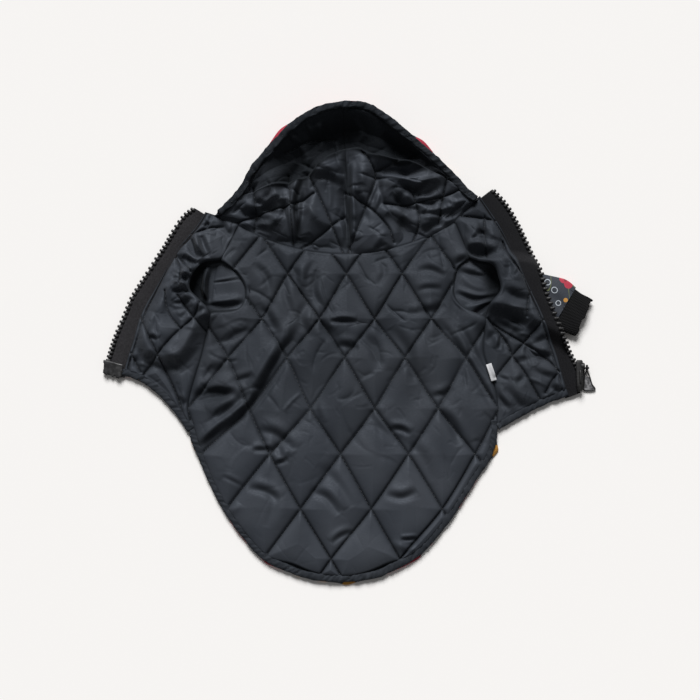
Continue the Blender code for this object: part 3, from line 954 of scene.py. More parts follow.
BACK_CREASES = creases(
    (-30, 10, -43, -14, -56, -36, -68, -50, -3.4, 3, 1.1),
    (-44, -22, -60, -42, -76, -54, -92, -68, -2.6, 1.9, 1.2),
    (-26, 2, -38, -8, -52, -26, -64, -46, -1.8, 4.6), (-92, -36, -84, -30.5, -70, -31, 2.4, 2.4),
    (-80, -58, -72, -50, -62, -46, 1.8, 1.8), (-95, -38, -82, -33, -66, -36, -3.8, 3.4, 0.8),
    (-82, -50, -72, -42, -60, -33, -2.2, 2.6), (-78, -3, -69, 3, -60, 6, -1.8, 2.4),
    (-74, -27, -66, -25, -58, -23, -1.5, 2), (-88, -18, -78, -12, -70, -14, 1.6, 5),
    (-88, -44, -76, -40, -64, -28, 1.8, 4.5), (-12, 11, -3, 11.5, 5, 11, -2.4, 1.5, 0.5),
    (-24, 26, -30, 14, -24, 0, -2, 3), (-36, 44, -40, 30, -34, 12, -1.6, 2.6),
    (-20, 44, -22, 30, -14, 16, -1.8, 2.4), (8, 4, 16, -6, 18, -20, -1.8, 3.4),
    (26, 8, 36, -8, 40, -28, -1.8, 3.4), (-56, -56, -44, -60, -34, -70, -1.8, 2.8),
    (-62, -92, -52, -94, -42, -100, -1.6, 2.4), (-24, -94, -14, -98, -6, -108, -1.5, 2.6),
    (22, -96, 32, -98, 42, -94, -1.5, 2.4), (52, -44, 62, -52, 68, -66, -1.8, 2.6),
    (10, -40, 18, -54, 30, -64, -1.4, 3), (-18, 13, -14, 6, -10, 0, -1.5, 3),
    (68, 9, 77, -8, 87, -27, -1.8, 2.2), (55, 12, 70, -8, 90, -46, -1.9, 2.4),
    (62, 6, 74, -12, 84, -32, 1.2, 2.6), (-60, 48, -52, 40, -49, 28, -1.4, 2.4),
    (-58, 22, -50, 14, -44, 2, -1.5, 2.4), (60, 22, 50, 18, 42, 20, -1.4, 2.2),
    (60, 40, 50, 44, 42, 43, -1.3, 2.2), (58, 32, 48, 32, 42, 30, -1, 1.8),
    (20, 50, 22, 42, 18, 34, -0.9, 2), (-22, 50, -26, 40, -24, 32, -0.9, 2),
    (-20, -78, -8, -88, 2, -104, -0.8, 3), (30, -60, 44, -72, 50, -88, -0.8, 3),
    (-52, -84, -46, -100, -50, -116, -0.7, 3),
)
LEFT_FLAP_TABLE = (
    # x_zip, y_zip, x_edge, y_edge, x_seam, y_seam
    (-98.2, 85, -91, 80.5, -69.6, 73.4), (-105, 79.4, -95, 74, -75.6, 60.6),
    (-111.8, 69, -102, 65, -80, 51.6), (-116, 61, -107, 59, -92, 48.5),
    (-121, 53, -112, 50, -98, 39), (-127, 43, -117, 40, -99, 31), (-132, 35, -122, 31, -93, 24),
    (-137, 26, -127, 22, -86.2, 15.6), (-141, 15.5, -131, 12, -88.7, 4.2),
    (-146, 3, -134, 0, -91.7, -10), (-149, -7, -137, -10, -95.7, -24.2),
    (-151.5, -17, -139.5, -19, -99.7, -42.2), (-152, -21, -141, -23, -99.8, -57.6),
)
RIGHT_FLAP_TABLE = (
    # x_zip, y_zip, x_edge, y_edge, x_seam, y_seam
    (91, 97.2, 83, 91, 66.7, 75.6), (99.4, 87.6, 89, 82, 71.7, 62.6),
    (104.8, 78.4, 94, 74, 75.2, 53.2), (110.8, 65.8, 100, 62, 89, 47),
    (116, 53.6, 105, 50, 93, 38), (120.5, 41.8, 109.5, 38, 94, 30), (123.5, 30, 114, 28, 88, 22),
    (127.5, 18.5, 119, 17, 85.1, 13.8), (133, 4, 124, 4, 84.2, 4.2),
    (138, -7.5, 129, -10, 83.8, -9.2), (143.2, -19, 132, -22, 88.8, -24.3),
    (143.5, -28, 134.5, -31, 92.3, -42.2), (143.6, -32.5, 135.5, -35.5, 92.8, -56.6),
)
LEFT_FLAP_LINES = (
    ((-131, 20), (-128, 11), (-118, -10), (-106, -35), (-101, -52)),
    ((-133, -30), (-118, -10), (-107, 3), (-96, 13), (-92, 22)),
    ((-114, 30), (-112, 17), (-104, 6)), ((-106, 27), (-104, 24), (-96, 13), (-88, 5)),
    ((-109, 55), (-105, 44), (-105, 34)), ((-108, 54), (-102, 47), (-98, 41)),
    ((-135, -8), (-132, -14), (-129, -20)), ((-99, 67), (-88, 71), (-79, 72)),
)
RIGHT_FLAP_LINES = (
    ((66, 79), (78, 78), (92, 76)), ((85, 78), (84.5, 66), (86, 51)),
    ((122, 14), (115, 6), (108, -2), (101, -10), (90, -24)),
    ((86, 13), (97, -1), (101, -10), (108, -20), (118, -38)),
    ((89, 10), (98, 4), (108, -2), (121, -11), (130, -20)), ((112, 30), (110.5, 22), (110, 14)),
    ((121, -33), (125, -26), (129, -21)), ((96, 62), (100, 50), (107, 40)),
)
BACK_SHADES = (
    # x, y, how far it reaches and how dark the painted shade is there
    (-82, -34, 16, 0.6), (-52, -26, 7, 0.6), (-40, -10, 5, 0.5), (-86, -62, 7, 0.6),
    (-13.5, 6.5, 6, 0.5), (58, 43, 10, 0.45), (66, 24, 8, 0.3), (-62, -44, 10, 0.4),
)
LEFT_FLAP_CREASES = creases(
    (-109, 36, -101, 33, -92, 30, 3.2, 1.5), (-110, 29, -101, 29, -91, 24, -2.2, 1.2),
    (-110, 43, -101, 38, -90, 35, -2.2, 1.2), (-106, 47, -99, 44, -91, 40, 2.8, 1.7),
    (-104, 53, -98, 49, -92, 45, -2.6, 1.5), (-97, 70, -94, 60, -89, 53, 3, 2),
    (-101, 66, -98, 58, -94, 51, -3, 1.8), (-110, 22, -102, 22, -95, 24, -2.4, 1.6),
    (-98, 64, -97, 56, -93, 50, -2.6, 2.2), (-92, 66, -91, 58, -87, 52, -2.2, 2),
    (-95, 66, -94, 58, -90, 52, 1.6, 1.8), (-112, 42, -107, 38, -100, 37, -1.8, 2),
    (-110, 32, -106, 30, -100, 31, -1.6, 2), (-117, 36, -113, 30, -113, 22, 1, 3),
    (-112, 20, -104, 18, -97, 22, -1.2, 2), (-121, 6, -113, 3, -106, -4, 0.8, 4),
    (-116, -22, -110, -18, -101, -20, -0.9, 3), (-133, -18, -124, -26, -112, -36, -0.8, 3),
)
RIGHT_FLAP_CREASES = creases(
    (68, 56, 82, 54, 96, 52, -3.8, 3, 0.9), (72, 68, 84, 66, 94, 62, 3.2, 8),
    (98, 60, 103, 46, 108, 30, 2.6, 6), (92, 54, 99, 46, 98, 36, -2, 2.4),
    (94, 30, 103, 26, 112, 24, -2, 2.6), (88, 18, 98, 15, 110, 8, -2.4, 2.6),
    (90, 12, 98, 8, 106, 3, -1.6, 1.8), (88, 8, 94, -4, 98, -8, 1.2, 2.2),
    (108, -5, 117, -11, 126, -10, -3.4, 2.2, 0.8), (112, 6, 119, 2, 126, -3, 1.6, 3.4),
    (96, -30, 104, -40, 110, -42, -1.4, 2.6), (88, -30, 92, -37, 99, -44, -1.8, 2),
    (112, -18, 119, -22, 128, -24, -1.4, 2.4),
)
RIM_TABLE = (
    # x, y of the hood's rim from the left neck corner to the right one
    (-83, 82.3), (-75.2, 89.5), (-68, 98), (-62.6, 108.2), (-47.4, 125.2), (-34.4, 137.4),
    (-19.6, 145.6), (-2, 149), (12, 147.6), (24.6, 140.4), (37.5, 130.2), (52.4, 118.2),
    (66.3, 105.3), (74.2, 96.7), (81, 91.2),
)
ARCH_TABLE = (
    # x, y of the fold inside the hood, above which it is a pocket given painted shade
    (-70, 90), (-46, 97), (-30, 101), (-24.2, 104.3), (-17.4, 112.6), (-5, 120.2), (5.6, 121.4),
    (13.6, 117.5), (25.4, 114.6), (40, 112), (56, 104), (76, 92),
)
HOOD_TABLE = (
    # share of the way from neck to rim; under and top in the middle; under and top at the sides
    (0, 0, 3.2, 0, 3.2), (0.1, 0, 6, 0, 5.4), (0.35, 0, 9, 0, 7), (0.56, 0, 12, 0, 8.5),
    (0.66, 0, 13.8, 0, 9.5), (0.69, 0, 5.2, 0.1, 9.2), (0.73, 0, 4.2, 0.2, 9),
    (0.81, 2.5, 6.5, 1, 8.4), (0.91, 12, 17, 2.2, 8.6), (1, 20.5, 25, 3.8, 9),
)
FOLD_AT = 0.675  # share at which HOOD_TABLE's fold lies
FOLD_RANGE = (0.55, 0.78)  # shares between which the arch may move it
POCKET_FROM = 0.618  # share from which the lining gets the pocket's painted shade
HOOD_LINES = (
    ((-3.8, 55), (-12, 75), (-20.5, 94), (-26, 104)),
    ((-0.6, 55), (6, 72), (11, 86), (16.7, 102), (12.8, 112), (8.4, 118)),
    ((-30, 58), (-19, 65), (-10.5, 72), (-2.7, 78)),
    ((-2, 93), (3.7, 89), (12.8, 83.5), (24, 72), (28, 62)),
    ((-38, 104), (-36.6, 84), (-34.7, 59)), ((-74, 73), (-50, 81), (-34.7, 84.5), (-22, 92)),
    ((22, 86), (37, 85.5), (60, 91), (72, 96)), ((63, 110), (60, 96), (56, 74)),
    ((16, 106), (30, 112), (44, 118)), ((40, 62), (44, 76), (40, 92)),
    ((-60, 66), (-58, 78), (-60, 96)), ((-40, 118), (-24, 126), (-8, 128)),
)
HOOD_SHADES = (
    # path of a deep fold, its width and how dark its painted shade is
    (((-4, 117), (-1.1, 101.9), (-0.4, 83.9), (0, 60)), 2.4, 0.8),
    (((-28.5, 104), (-33.4, 83.9), (-31.2, 62.4)), 2.6, 0.8),
    (((20, 97.4), (38, 92.9), (51.2, 100.8)), 2, 0.6),
    (((28.9, 90.6), (33.4, 80.5), (31.1, 68)), 2.4, 0.6),
    (((34, 111), (48, 107.5), (63, 103.6)), 2.6, 0.7),
    (((-60, 80), (-54, 74), (-44, 72)), 2.4, 0.6),
)
HOOD_CREASES = creases(
    (22, 104, 36, 101, 52, 104, 2.6, 2), (30, 98, 42, 95, 56, 99, -2.8, 1.5),
    (40, 88, 50, 86, 60, 90, -2.6, 1.5), (42, 80, 52, 79, 66, 82, -2.2, 1.5),
    (-60, 88, -52, 84, -42, 88, -2.4, 1.6), (-1.1, 112, -0.6, 90, 0, 62, -3, 1.6, 1),
    (-28.8, 102, -33.4, 83.9, -31.2, 62.4, -3, 1.6, 1.2), (8, 116, 9, 104, 6, 92, 2.6, 3.6),
    (-52, 104, -46, 92, -44, 80, 2.8, 5), (-1, 56, -2.5, 84, -4, 113, -3.6, 3, 0.4),
    (-33.5, 61, -28.5, 84, -28.5, 107, -4.6, 3.2, 0.3), (-35, 60, -33, 72, -30, 84, 3.4, 2.4),
    (-46, 92, -37, 99, -33, 112, -3.6, 3.4), (-62, 94, -52, 100, -42, 112, 4.2, 8),
    (-62, 78, -52, 82, -40, 84, -2.6, 2.8), (-72, 82, -58, 78, -44, 71, -3.2, 2.6),
    (-52, 70, -46, 74, -40, 78, 2.4, 2.6), (14, 108, 29, 106, 49, 105, -4.4, 3.4),
    (26, 92, 36, 84, 46, 82, -3, 2.4), (34, 96, 46, 92, 58, 98, -2.8, 2.2),
    (32, 101, 46, 99, 60, 103, 2.2, 2.2), (24, 80, 33, 71, 38, 63, -3.4, 3),
    (40, 74, 50, 78, 58, 84, 2.8, 3), (46, 68, 52, 72, 60, 76, -2.2, 2),
    (2, 112, 8, 100, 10, 84, 3.4, 4), (17, 108, 18, 96, 14, 84, -2.6, 2.4),
    (-22, 108, -14, 108, -8, 104, 2.6, 3.4), (-24, 100, -14, 102, -6, 96, -2.4, 2.2),
    (-26, 84, -20, 76, -12, 70, 1.8, 3.4), (-16, 132, -12, 126, -12, 118, -2, 2.2),
    (-20, 136, -17, 128, -18, 120, 1.8, 2), (2, 138, 8, 130, 4, 124, 1.8, 2.2),
    (22, 130, 28, 122, 38, 116, -2.2, 2.4), (-40, 126, -34, 120, -32, 114, -2.2, 2.2),
)


def grown(plan: Array, top: float, bottom: float, left: float, right: float) -> Array:
    """The plan with its border rows moved outwards.

    Args:
        plan: (rows, columns, 2).
        top: how far the first row moves.
        bottom: how far the last row moves.
        left: how far the first column moves.
        right: how far the last column moves.

    Returns:
        The new plan.
    """
    plan = plan.copy()
    for edge, inner, far in (
        ((0,), (2,), top), ((-1,), (-3,), bottom),
        ((slice(None), 0), (slice(None), 2), left), ((slice(None), -1), (slice(None), -3), right),
    ):
        away = plan[edge] - plan[inner]
        plan[edge] += far * unit(away)
    return plan


def surface_of(thing: Thing) -> BVHTree:
    """A tree of the object's faces, for finding heights."""
    points = [v.co[:] for v in thing.data.vertices]
    return BVHTree.FromPolygons(points, [p.vertices[:] for p in thing.data.polygons])


@dataclass
class Layers:
    """What has been laid so far, for seating later pieces on it."""

    trees: list[BVHTree] = field(default_factory=list)

    def add(self, thing: Thing) -> None:
        """Takes in one more piece."""
        self.trees.append(surface_of(thing))

    def top(self, x: float, y: float, fallback: float = 0.0) -> float:
        """The height of the highest layer at a place.

        Args:
            x: the place's X in millimetres before the shift.
            y: the place's Y.
            fallback: the answer where nothing lies.

        Returns:
            The height in millimetres.
        """
        start = Vector(((x + SHIFT[0]) * MM, (y + SHIFT[1]) * MM, 0.1))
        best = None
        for tree in self.trees:
            hit = tree.ray_cast(start, Vector((0, 0, -1)), 0.2)[0]
            if hit is not None:
                best = hit.z / MM if best is None else max(best, hit.z / MM)
        return fallback if best is None else best


def settle_on(thing: Thing, slot: str, *nodes: str) -> None:
    """Fixes a piece to the coat and hides the plain solids that it replaces."""
    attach(thing, "coat")
    if nodes:
        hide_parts(*nodes)
    log.info("%s: %d faces", thing.name, len(thing.data.polygons))


ARMHOLES = {
    # the edge of each armhole, round from its top left corner
    Side.LEFT: (
        (-92.4, 47.6), (-85.6, 49.2), (-78.7, 50.1), (-73.8, 46.9), (-70, 41.9), (-65.7, 36.2),
        (-64.1, 30.6), (-64.5, 23), (-68.8, 19.2), (-80.6, 18.8), (-87.1, 19.7), (-93.4, 24),
        (-99.2, 31), (-98, 39.4),
    ),
    Side.RIGHT: (
        (66, 51.4), (74, 51.8), (81, 50.1), (89.5, 46.6), (93.5, 37), (93.5, 28),
        (87.5, 21.5), (81, 14.6), (72, 18.6), (65.6, 26.8), (65, 34.3), (67, 45),
    ),
}
ARMHOLE_CREASES = {
    # the gathers of the sleeve's lining inside each armhole
    Side.LEFT: creases(
        (-86, 36.4, -76, 37.6, -65, 39.2, -0.8, 0.7), (-90, 21.4, -78, 21.4, -65, 23.6, -2.8, 1.6),
        (-86, 26, -77, 26, -68, 28, 1, 2.4), (-84, 49, -86.5, 36, -87, 23, -2.4, 1.6),
        (-92, 46, -93, 36, -92, 26, -2.6, 1.5), (-88, 47, -89.8, 36, -89, 26, 3, 1.3),
        (-96, 40, -92, 33, -88, 25, 2.4, 1.1),
    ),
    Side.RIGHT: creases(
        (66, 30, 80, 25.5, 94, 28, -2.4, 1.5), (74, 14, 82, 19, 92, 25, -2.2, 1.4),
        (72, 20, 80, 22.5, 90, 27, 1.8, 1.5), (68, 44, 77, 41.5, 90, 38, -1.8, 1.8),
        (70, 40, 78, 34, 88, 32, 1.2, 2.4), (76, 52, 86, 44, 92, 32, -2, 2.4),
    ),
}


@dataclass
class QuiltedPiece:
    """One cut piece of quilted lining with its wadding, lying on its outer cloth."""

    name: str
    nodes: tuple[str, ...]
    plan: Array
    ground: Array
    lines: Sequence[Any]
    creases: Sequence[Crease]
    seed: int
    base: Array | None = None
    fullness: float = 3.0
    fill: float = 0.35
    pucker_count: int = 60
    armholes: bool = True
    crushed: Array | float = 1.0
    # painted shade laid over the piece, from 0 to 1
    hollow_shade: Array | float = 0.0
    rise_over: float = 5.0  # how far from a stitching line the wadding takes to fill out
    furrow: float = 0.7  # half width of the cloth that a stitching line holds down

    def build(self, material: Material) -> Thing:
        """Shapes the piece, lets its cloth buckle, and makes the object.

        Args:
            material: its material.

        Returns:
            The object.
        """
        x, y = self.plan[..., 0], self.plan[..., 1]
        apart = to_lines(x, y, self.lines)
        border = [self.plan[0], self.plan[-1], self.plan[:, 0], self.plan[:, -1]]
        edge = to_lines(x, y, [line[::3] if len(line) > 40 else line for line in border])
        near = np.minimum(apart, edge * 0.9)
        loft = 1.2 * self.fullness * (1.0 - np.exp(-((near / self.rise_over) ** 0.95)))
        loft *= 1.0 + 0.2 * waves(x, y, 34.0, self.seed)
        base = self.ground + OUTER + 0.9 if self.base is None else self.base - 2.2
        height = base + loft
        inner = smooth(edge / 3.0)
        for crease in self.creases:
            height = height + crease.relief(x, y) * inner
        for pucker in puckers(self.lines, self.pucker_count, self.seed + 5):
            height = height + pucker.relief(x, y) * inner
        folds = 1.9 * crumple(x, y, 34.0, self.seed + 2) + 0.6 * crumple(x, y, 17.0, self.seed + 7)
        height = height + folds * inner * self.crushed
        if self.armholes:
            for hole in ARMHOLES.values():
                gap = to_path(x, y, along((*hole, hole[0]), 60))[0]
                swell = 1.2 + 2.6 * smooth((np.abs(x) / 100.0 - 0.62) / 0.3)
                height = height + swell * bell(gap, 8.0)
        lowest = self.ground + OUTER + 0.4
        height = np.maximum(height, lowest)
        points = np.concatenate([self.plan, height[..., None]], axis=2)
        sewn = bell(near, self.furrow)
        sewn[0], sewn[-1], sewn[:, 0], sewn[:, -1] = 1.0, 1.0, 1.0, 1.0
        points = Settling().run(points, np.clip(sewn * 1.2, 0, 1), lowest)
        points[..., 2] -= 0.7 * bell(near, 0.5)
        points[..., 2] = np.maximum(points[..., 2], lowest - 0.25)
        # Painted shade: dark along the stitching lines, wherever the piece is given shade, and
        # along its edges next to the hem.
        cavity = np.maximum(0.75 * bell(near, 0.5), self.hollow_shade)
        cavity = np.maximum(cavity, 0.85 * bell(edge, 0.9))
        made = grid_object(self.name, points, material, {"cavity": cavity})
        settle_on(made, "quilted_lining", *self.nodes)
        return made


def back_plan(rows: int, columns: int, inset: float) -> Array:
    """The back panel's plan.

    Args:
        rows: rows from neck to tail.
        columns: points in each row.
        inset: how far the hem is drawn in.

    Returns:
        The plan, (rows, columns, 2).
    """
    table = along(BACK_TABLE, rows)
    left, right, middle, hem = table[:, 0:2], table[:, 2:4], table[:, 4].copy(), table[:, 5]
    left = left + (shifted(left, inset) - left) * hem[:, None]
    right = right + (shifted(right, -inset) - right) * hem[:, None]
    run = smooth((np.linspace(0.0, 1.0, rows) - 0.93) / 0.07)
    left[:, 1] += inset * 0.7 * run
    right[:, 1] += inset * 0.7 * run
    middle += inset * run
    return between(left, right, middle, columns)


def between(left: Array, right: Array, middle: Array, columns: int) -> Array:
    """Rows from a left path to a right path, bowed so that their middle is at a given Y."""
    share = np.linspace(0.0, 1.0, columns)[None, :]
    x = left[:, :1] * (1 - share) + right[:, :1] * share
    y = left[:, 1:2] * (1 - share) + right[:, 1:2] * share
    bow = middle[:, None] - (left[:, 1:2] + right[:, 1:2]) / 2
    return np.stack([x, y + bow * 4 * share * (1 - share)], axis=2)


FLAP_TABLES = {Side.LEFT: LEFT_FLAP_TABLE, Side.RIGHT: RIGHT_FLAP_TABLE}
HEM_SAG = {Side.LEFT: 7.4, Side.RIGHT: 1.6}  # how far the middle of a flap's hem bows


def flap_plan(side: Side, rows: int, columns: int, inset: float) -> Array:
    """A front flap's plan, from its left edge to its right edge.

    Args:
        side: which flap.
        rows: rows from neck to hem.
        columns: points in each row.
        inset: how far the hem is drawn in.

    Returns:
        The plan, (rows, columns, 2).
    """
    table = along(FLAP_TABLES[side], rows)
    left, right = table[:, 2:4].copy(), table[:, 4:6].copy()
    if side is Side.RIGHT:
        left, right = right, left
    run = np.linspace(0.0, 1.0, rows)
    sag = HEM_SAG[side] * smooth(run * 2.0 - 1.0)
    across = right[-1] - left[-1]
    inward = np.array([-across[1], across[0]]) / np.linalg.norm(across)
    near = smooth((run - 0.9) / 0.1)[:, None] * inset
    left, right = left + near * inward, right + near * inward
    return between(left, right, (left[:, 1] + right[:, 1]) / 2 + sag, columns)


def neck_path(count: int) -> Array:
    """The hood's side of the neck seam."""
    share = np.linspace(0.06, 0.94, 15)
    top = BACK_TABLE[0]
    x = top[0] * (1 - share) + top[2] * share
    y = top[1] * (1 - share) + top[3] * share
    y = y + (top[4] - (top[1] + top[3]) / 2) * 4 * share * (1 - share) + 0.5
    ends = [(-84.5, 79.4), (-70.5, 74.4)], [(66.2, 76.5), (81.0, 90.6)]
    return along(np.concatenate([ends[0], np.stack([x, y], axis=1), ends[1]]), count)


def hood_heights(share: Array, columns: int) -> tuple[Array, Array]:
    """Heights of the hood's ground side and lining.

    Args:
        share: share of the way from neck to rim, (rows, columns).
        columns: points across the hood.

    Returns:
        The two heights.
    """
    table = np.asarray(HOOD_TABLE)
    middle = np.sin(math.pi * np.linspace(0.0, 1.0, columns))[None, :] ** 1.3
    at = [np.interp(share, table[:, 0], table[:, k]) for k in range(1, 5)]
    return at[2] * (1 - middle) + at[0] * middle, at[3] * (1 - middle) + at[1] * middle


def hood_halves(columns: int) -> tuple[tuple[Side, slice], ...]:
    """Each side with its half of the hood's columns, which share the middle one."""
    half = columns // 2
    return (Side.LEFT, slice(0, half + 1)), (Side.RIGHT, slice(half, columns))


def to_arch(reach: Array, plan: Array) -> Array:
    """Moves the hood's inner fold to the arch that it makes.

    Args:
        reach: share of the way from neck to rim, (rows, columns).
        plan: where those points lie.

    Returns:
        The share that the fold's heights are looked up at.
    """
    arch = along(ARCH_TABLE, 120)
    moved = reach.copy()
    for column in range(reach.shape[1]):
        over = plan[:, column, 1] - np.interp(plan[:, column, 0], arch[:, 0], arch[:, 1])
        share = float(np.interp(0.0, over, reach[:, column]))
        share = float(np.clip(share, *FOLD_RANGE))
        moved[:, column] = np.interp(reach[:, column], (0.0, share, 1.0), (0.0, FOLD_AT, 1.0))
    return moved


def back_quilting() -> list[Array]:
    """The back panel's diagonal quilting lines, through the rows of crossings."""
    lines = []
    for start in range(-14, 16, 2):
        for lean in (-1, 1):
            path = []
            for row, (y, middle, spacing) in enumerate(QUILT_ROWS):
                column = start + lean * (row - 1)
                wander = 0.8 * math.sin(2.3 * column + 1.7 * row)
                path.append((middle + spacing * column + wander, y + 0.8 * math.cos(3.1 * column)))
            lines.append(along(path, 60))
    return lines


@dataclass
class Quilting:
    """The quilted linings of the back, the flaps and the hood, with their stitches."""

    nylon: Material
    thread: Material
    layers: Layers
    hood_columns: int = 300
    runs: list[Array] = field(default_factory=list)

    def build(self) -> None:
        """Builds the linings and their stitching."""
        self.back()
        for side in Side:
            self.flap(side)
        self.hood()
        self.stitches()

    def back(self) -> None:
        """The back panel's lining."""
        plan = grown(back_plan(290, 262, ROLL), 0.8, 0.0, 0.9, 0.9)
        lines = back_quilting()
        x, y = plan[..., 0], plan[..., 1]
        # Painted shade: dark patches at the BACK_SHADES places, and the back drawn darker from the
        # tail towards the neck.
        dim = np.zeros_like(x)
        for at_x, at_y, reach, depth in BACK_SHADES:
            dim = np.maximum(dim, depth * bell(np.hypot(x - at_x, y - at_y), reach))
        dim = np.maximum(dim, 0.32 * smooth((y + 85.0) / 60.0))
        made = QuiltedPiece(
            "quilted_back", ("back_lining",), plan, lift(x, y), lines, BACK_CREASES, 11,
            fullness=2.3, pucker_count=120, hollow_shade=dim,
            crushed=0.12 + 0.88 * smooth((y + 100.0) / 90.0),
        ).build(self.nylon)
        self.layers.add(made)
        self.keep(lines, plan)

    def flap(self, side: Side) -> None:
        """One front flap's lining."""
        left = side is Side.LEFT
        inner = (0.0, 0.9) if left else (0.9, 0.0)
        plan = grown(flap_plan(side, 230, 92, ROLL), 1.6, 0.0, *inner)
        lines = LEFT_FLAP_LINES if left else RIGHT_FLAP_LINES
        zip_edge = plan[:, 6] if left else plan[:, -7]
        paths = [along(line, 24) for line in lines] + [zip_edge[::6]]
        made = QuiltedPiece(
            f"quilted_{side.word}_flap", (f"{side.word}_flap_lining",), plan,
            lift(plan[..., 0], plan[..., 1]), paths,
            LEFT_FLAP_CREASES if left else RIGHT_FLAP_CREASES, 26 + 5 * side.value,
            fullness=2.6, pucker_count=34, crushed=0.9 if left else 0.55,
            # an even darkening of each flap, more on the right one, laid on through the painted
            # shade
            hollow_shade=0.12 if left else 0.36,
        ).build(self.nylon)
        self.layers.add(made)
        self.keep(paths, plan)

    def hood(self) -> None:
        """The hood's two halves."""
        columns = self.hood_columns
        neck, rim = neck_path(columns), along(RIM_TABLE, columns)
        inner = shifted(rim, -ROLL)
        trim = np.clip(ROLL / np.linalg.norm(rim - neck, axis=1), 0.0, 0.5)
        share = np.linspace(0.0, 1.0, 170)[:, None, None]
        plan = neck * (1 - share) + inner * share
        reach = to_arch(share[..., 0] * (1 - trim), plan)
        under, over = hood_heights(reach, columns)
        middle = np.sin(math.pi * np.linspace(0.0, 1.0, columns))[None, :] ** 1.1
        wander = 0.012 * waves(plan[..., 0], plan[..., 1], 16.0, 47)
        # Painted shade: the pocket beyond the arch, deepest in the middle and a little lighter
        # towards the rim, and dark lines along the HOOD_SHADES folds.
        hollow_shade = smooth((reach + wander - POCKET_FROM) / 0.03) * smooth((middle - 0.25) / 0.5)
        hollow_shade = hollow_shade * (0.95 - 0.25 * smooth((reach - 0.82) / 0.15))
        for path, width, depth in HOOD_SHADES:
            gap = to_path(plan[..., 0], plan[..., 1], along(path, 30))[0]
            hollow_shade = np.maximum(hollow_shade, depth * bell(gap, width))
        lines = [along(line, 24) for line in HOOD_LINES]
        for side, part in hood_halves(columns):
            ends = (0.9, 0.5) if side is Side.LEFT else (0.5, 0.9)
            piece = grown(plan[:, part], 1.6, 0.0, *ends)
            made = QuiltedPiece(
                f"quilted_{side.word}_hood", (f"hood_{side.word}_lining",), piece,
                under[:, part], lines, HOOD_CREASES, 41 + side.value, base=over[:, part],
                fullness=2.2, pucker_count=60, armholes=False, crushed=1.7, hollow_shade=hollow_shade[:, part],
            ).build(self.nylon)
            self.layers.add(made)
            self.keep(lines, piece)

    def keep(self, lines: Sequence[Array], plan: Array) -> None:
        """Notes where stitches run: the parts of the lines that lie inside a plan."""
        loop = np.concatenate([plan[::4, 0], plan[-1, ::4], plan[::-4, -1], plan[0, ::-4]])
        after = np.roll(loop, -1, axis=0)
        for line in lines:
            length = length_of(line)
            dots = along(line, max(3, int(length / 0.9)))
            x, y = dots[:, :1], dots[:, 1:2]
            crosses = (loop[:, 1] > y) != (after[:, 1] > y)
            step = after - loop
            rise = np.where(np.abs(step[:, 1]) < 1e-9, 1e-9, step[:, 1])
            at = loop[:, 0] + (y - loop[:, 1]) / rise * step[:, 0]
            inside = (np.sum(crosses & (x < at), axis=1) % 2) == 1
            self.runs.extend(
                dots[i:i + 3] for i in range(0, len(dots) - 3, 3) if inside[i:i + 3].all()
            )

    def stitches(self) -> None:
        """One object of all the quilting stitches."""
        rings = []
        for dots in self.runs:
            heights = [self.layers.top(*dot, fallback=-1.0) for dot in dots]
            if min(heights) < 0 or max(heights) - min(heights) > 1.2:
                continue
            low = np.mean(heights) + 0.02
            path = np.array([(*d, z) for d, z in zip(dots, (low - 0.12, low + 0.12, low - 0.12))])
            rings.append(stitch(path))
        made = many_tubes("quilting_stitches", rings, self.thread)
        settle_on(made, "quilted_lining")


def round_tube(path: Array, radius: Any, around: int, taper: float = 1.0) -> Array:
    """Rings of a round tube along a path.

    Args:
        path: (count, 3).
        radius: its radius, one or one per point.
        around: points in a ring.
        taper: what share of the radius is left at its ends.

    Returns:
        (count, around, 3).
    """
    ahead = unit(np.gradient(path, axis=0))
    side = unit(np.cross(ahead, (0.0, 0.0, 1.0)))
    up = np.cross(side, ahead)
    turn = angles(around)
    size = np.broadcast_to(radius, (len(path),)).astype(float).copy()
    size[0] *= taper
    size[-1] *= taper
    ring = np.cos(turn)[None, :, None] * side[:, None] + np.sin(turn)[None, :, None] * up[:, None]
    return path[:, None] + ring * size[:, None, None]


def stitch(path: Array) -> Array:
    """Rings of one stitch of sewing thread through three points."""
    return round_tube(path, 0.17, 5, taper=0.5)


def many_tubes(
    name: str, tubes: Sequence[Array], material: Material, stored: dict | None = None,
    capped: bool = True, crisp: bool = False,
) -> Thing:
    """One object of many tubes.

    Args:
        name: its name.
        tubes: each (rings, points, 3) in millimetres.
        material: its material.
        stored: values to keep on the points, by name.
        capped: whether the ends are closed.
        crisp: whether its edges stay sharp.

    Returns:
        The object.
    """
    points, faces, start = [], [], 0
    for rings in tubes:
        count, size = rings.shape[:2]
        for r in range(count - 1):
            low, high = start + r * size, start + (r + 1) * size
            for i in range(size):
                j = (i + 1) % size
                faces.append((low + i, low + j, high + j, high + i))
        if capped:
            faces.append(tuple(start + i for i in range(size - 1, -1, -1)))
            faces.append(tuple(start + (count - 1) * size + i for i in range(size)))
        points.append(rings.reshape(-1, 3))
        start += count * size
    return body_object(name, np.concatenate(points), faces, material, stored, crisp)


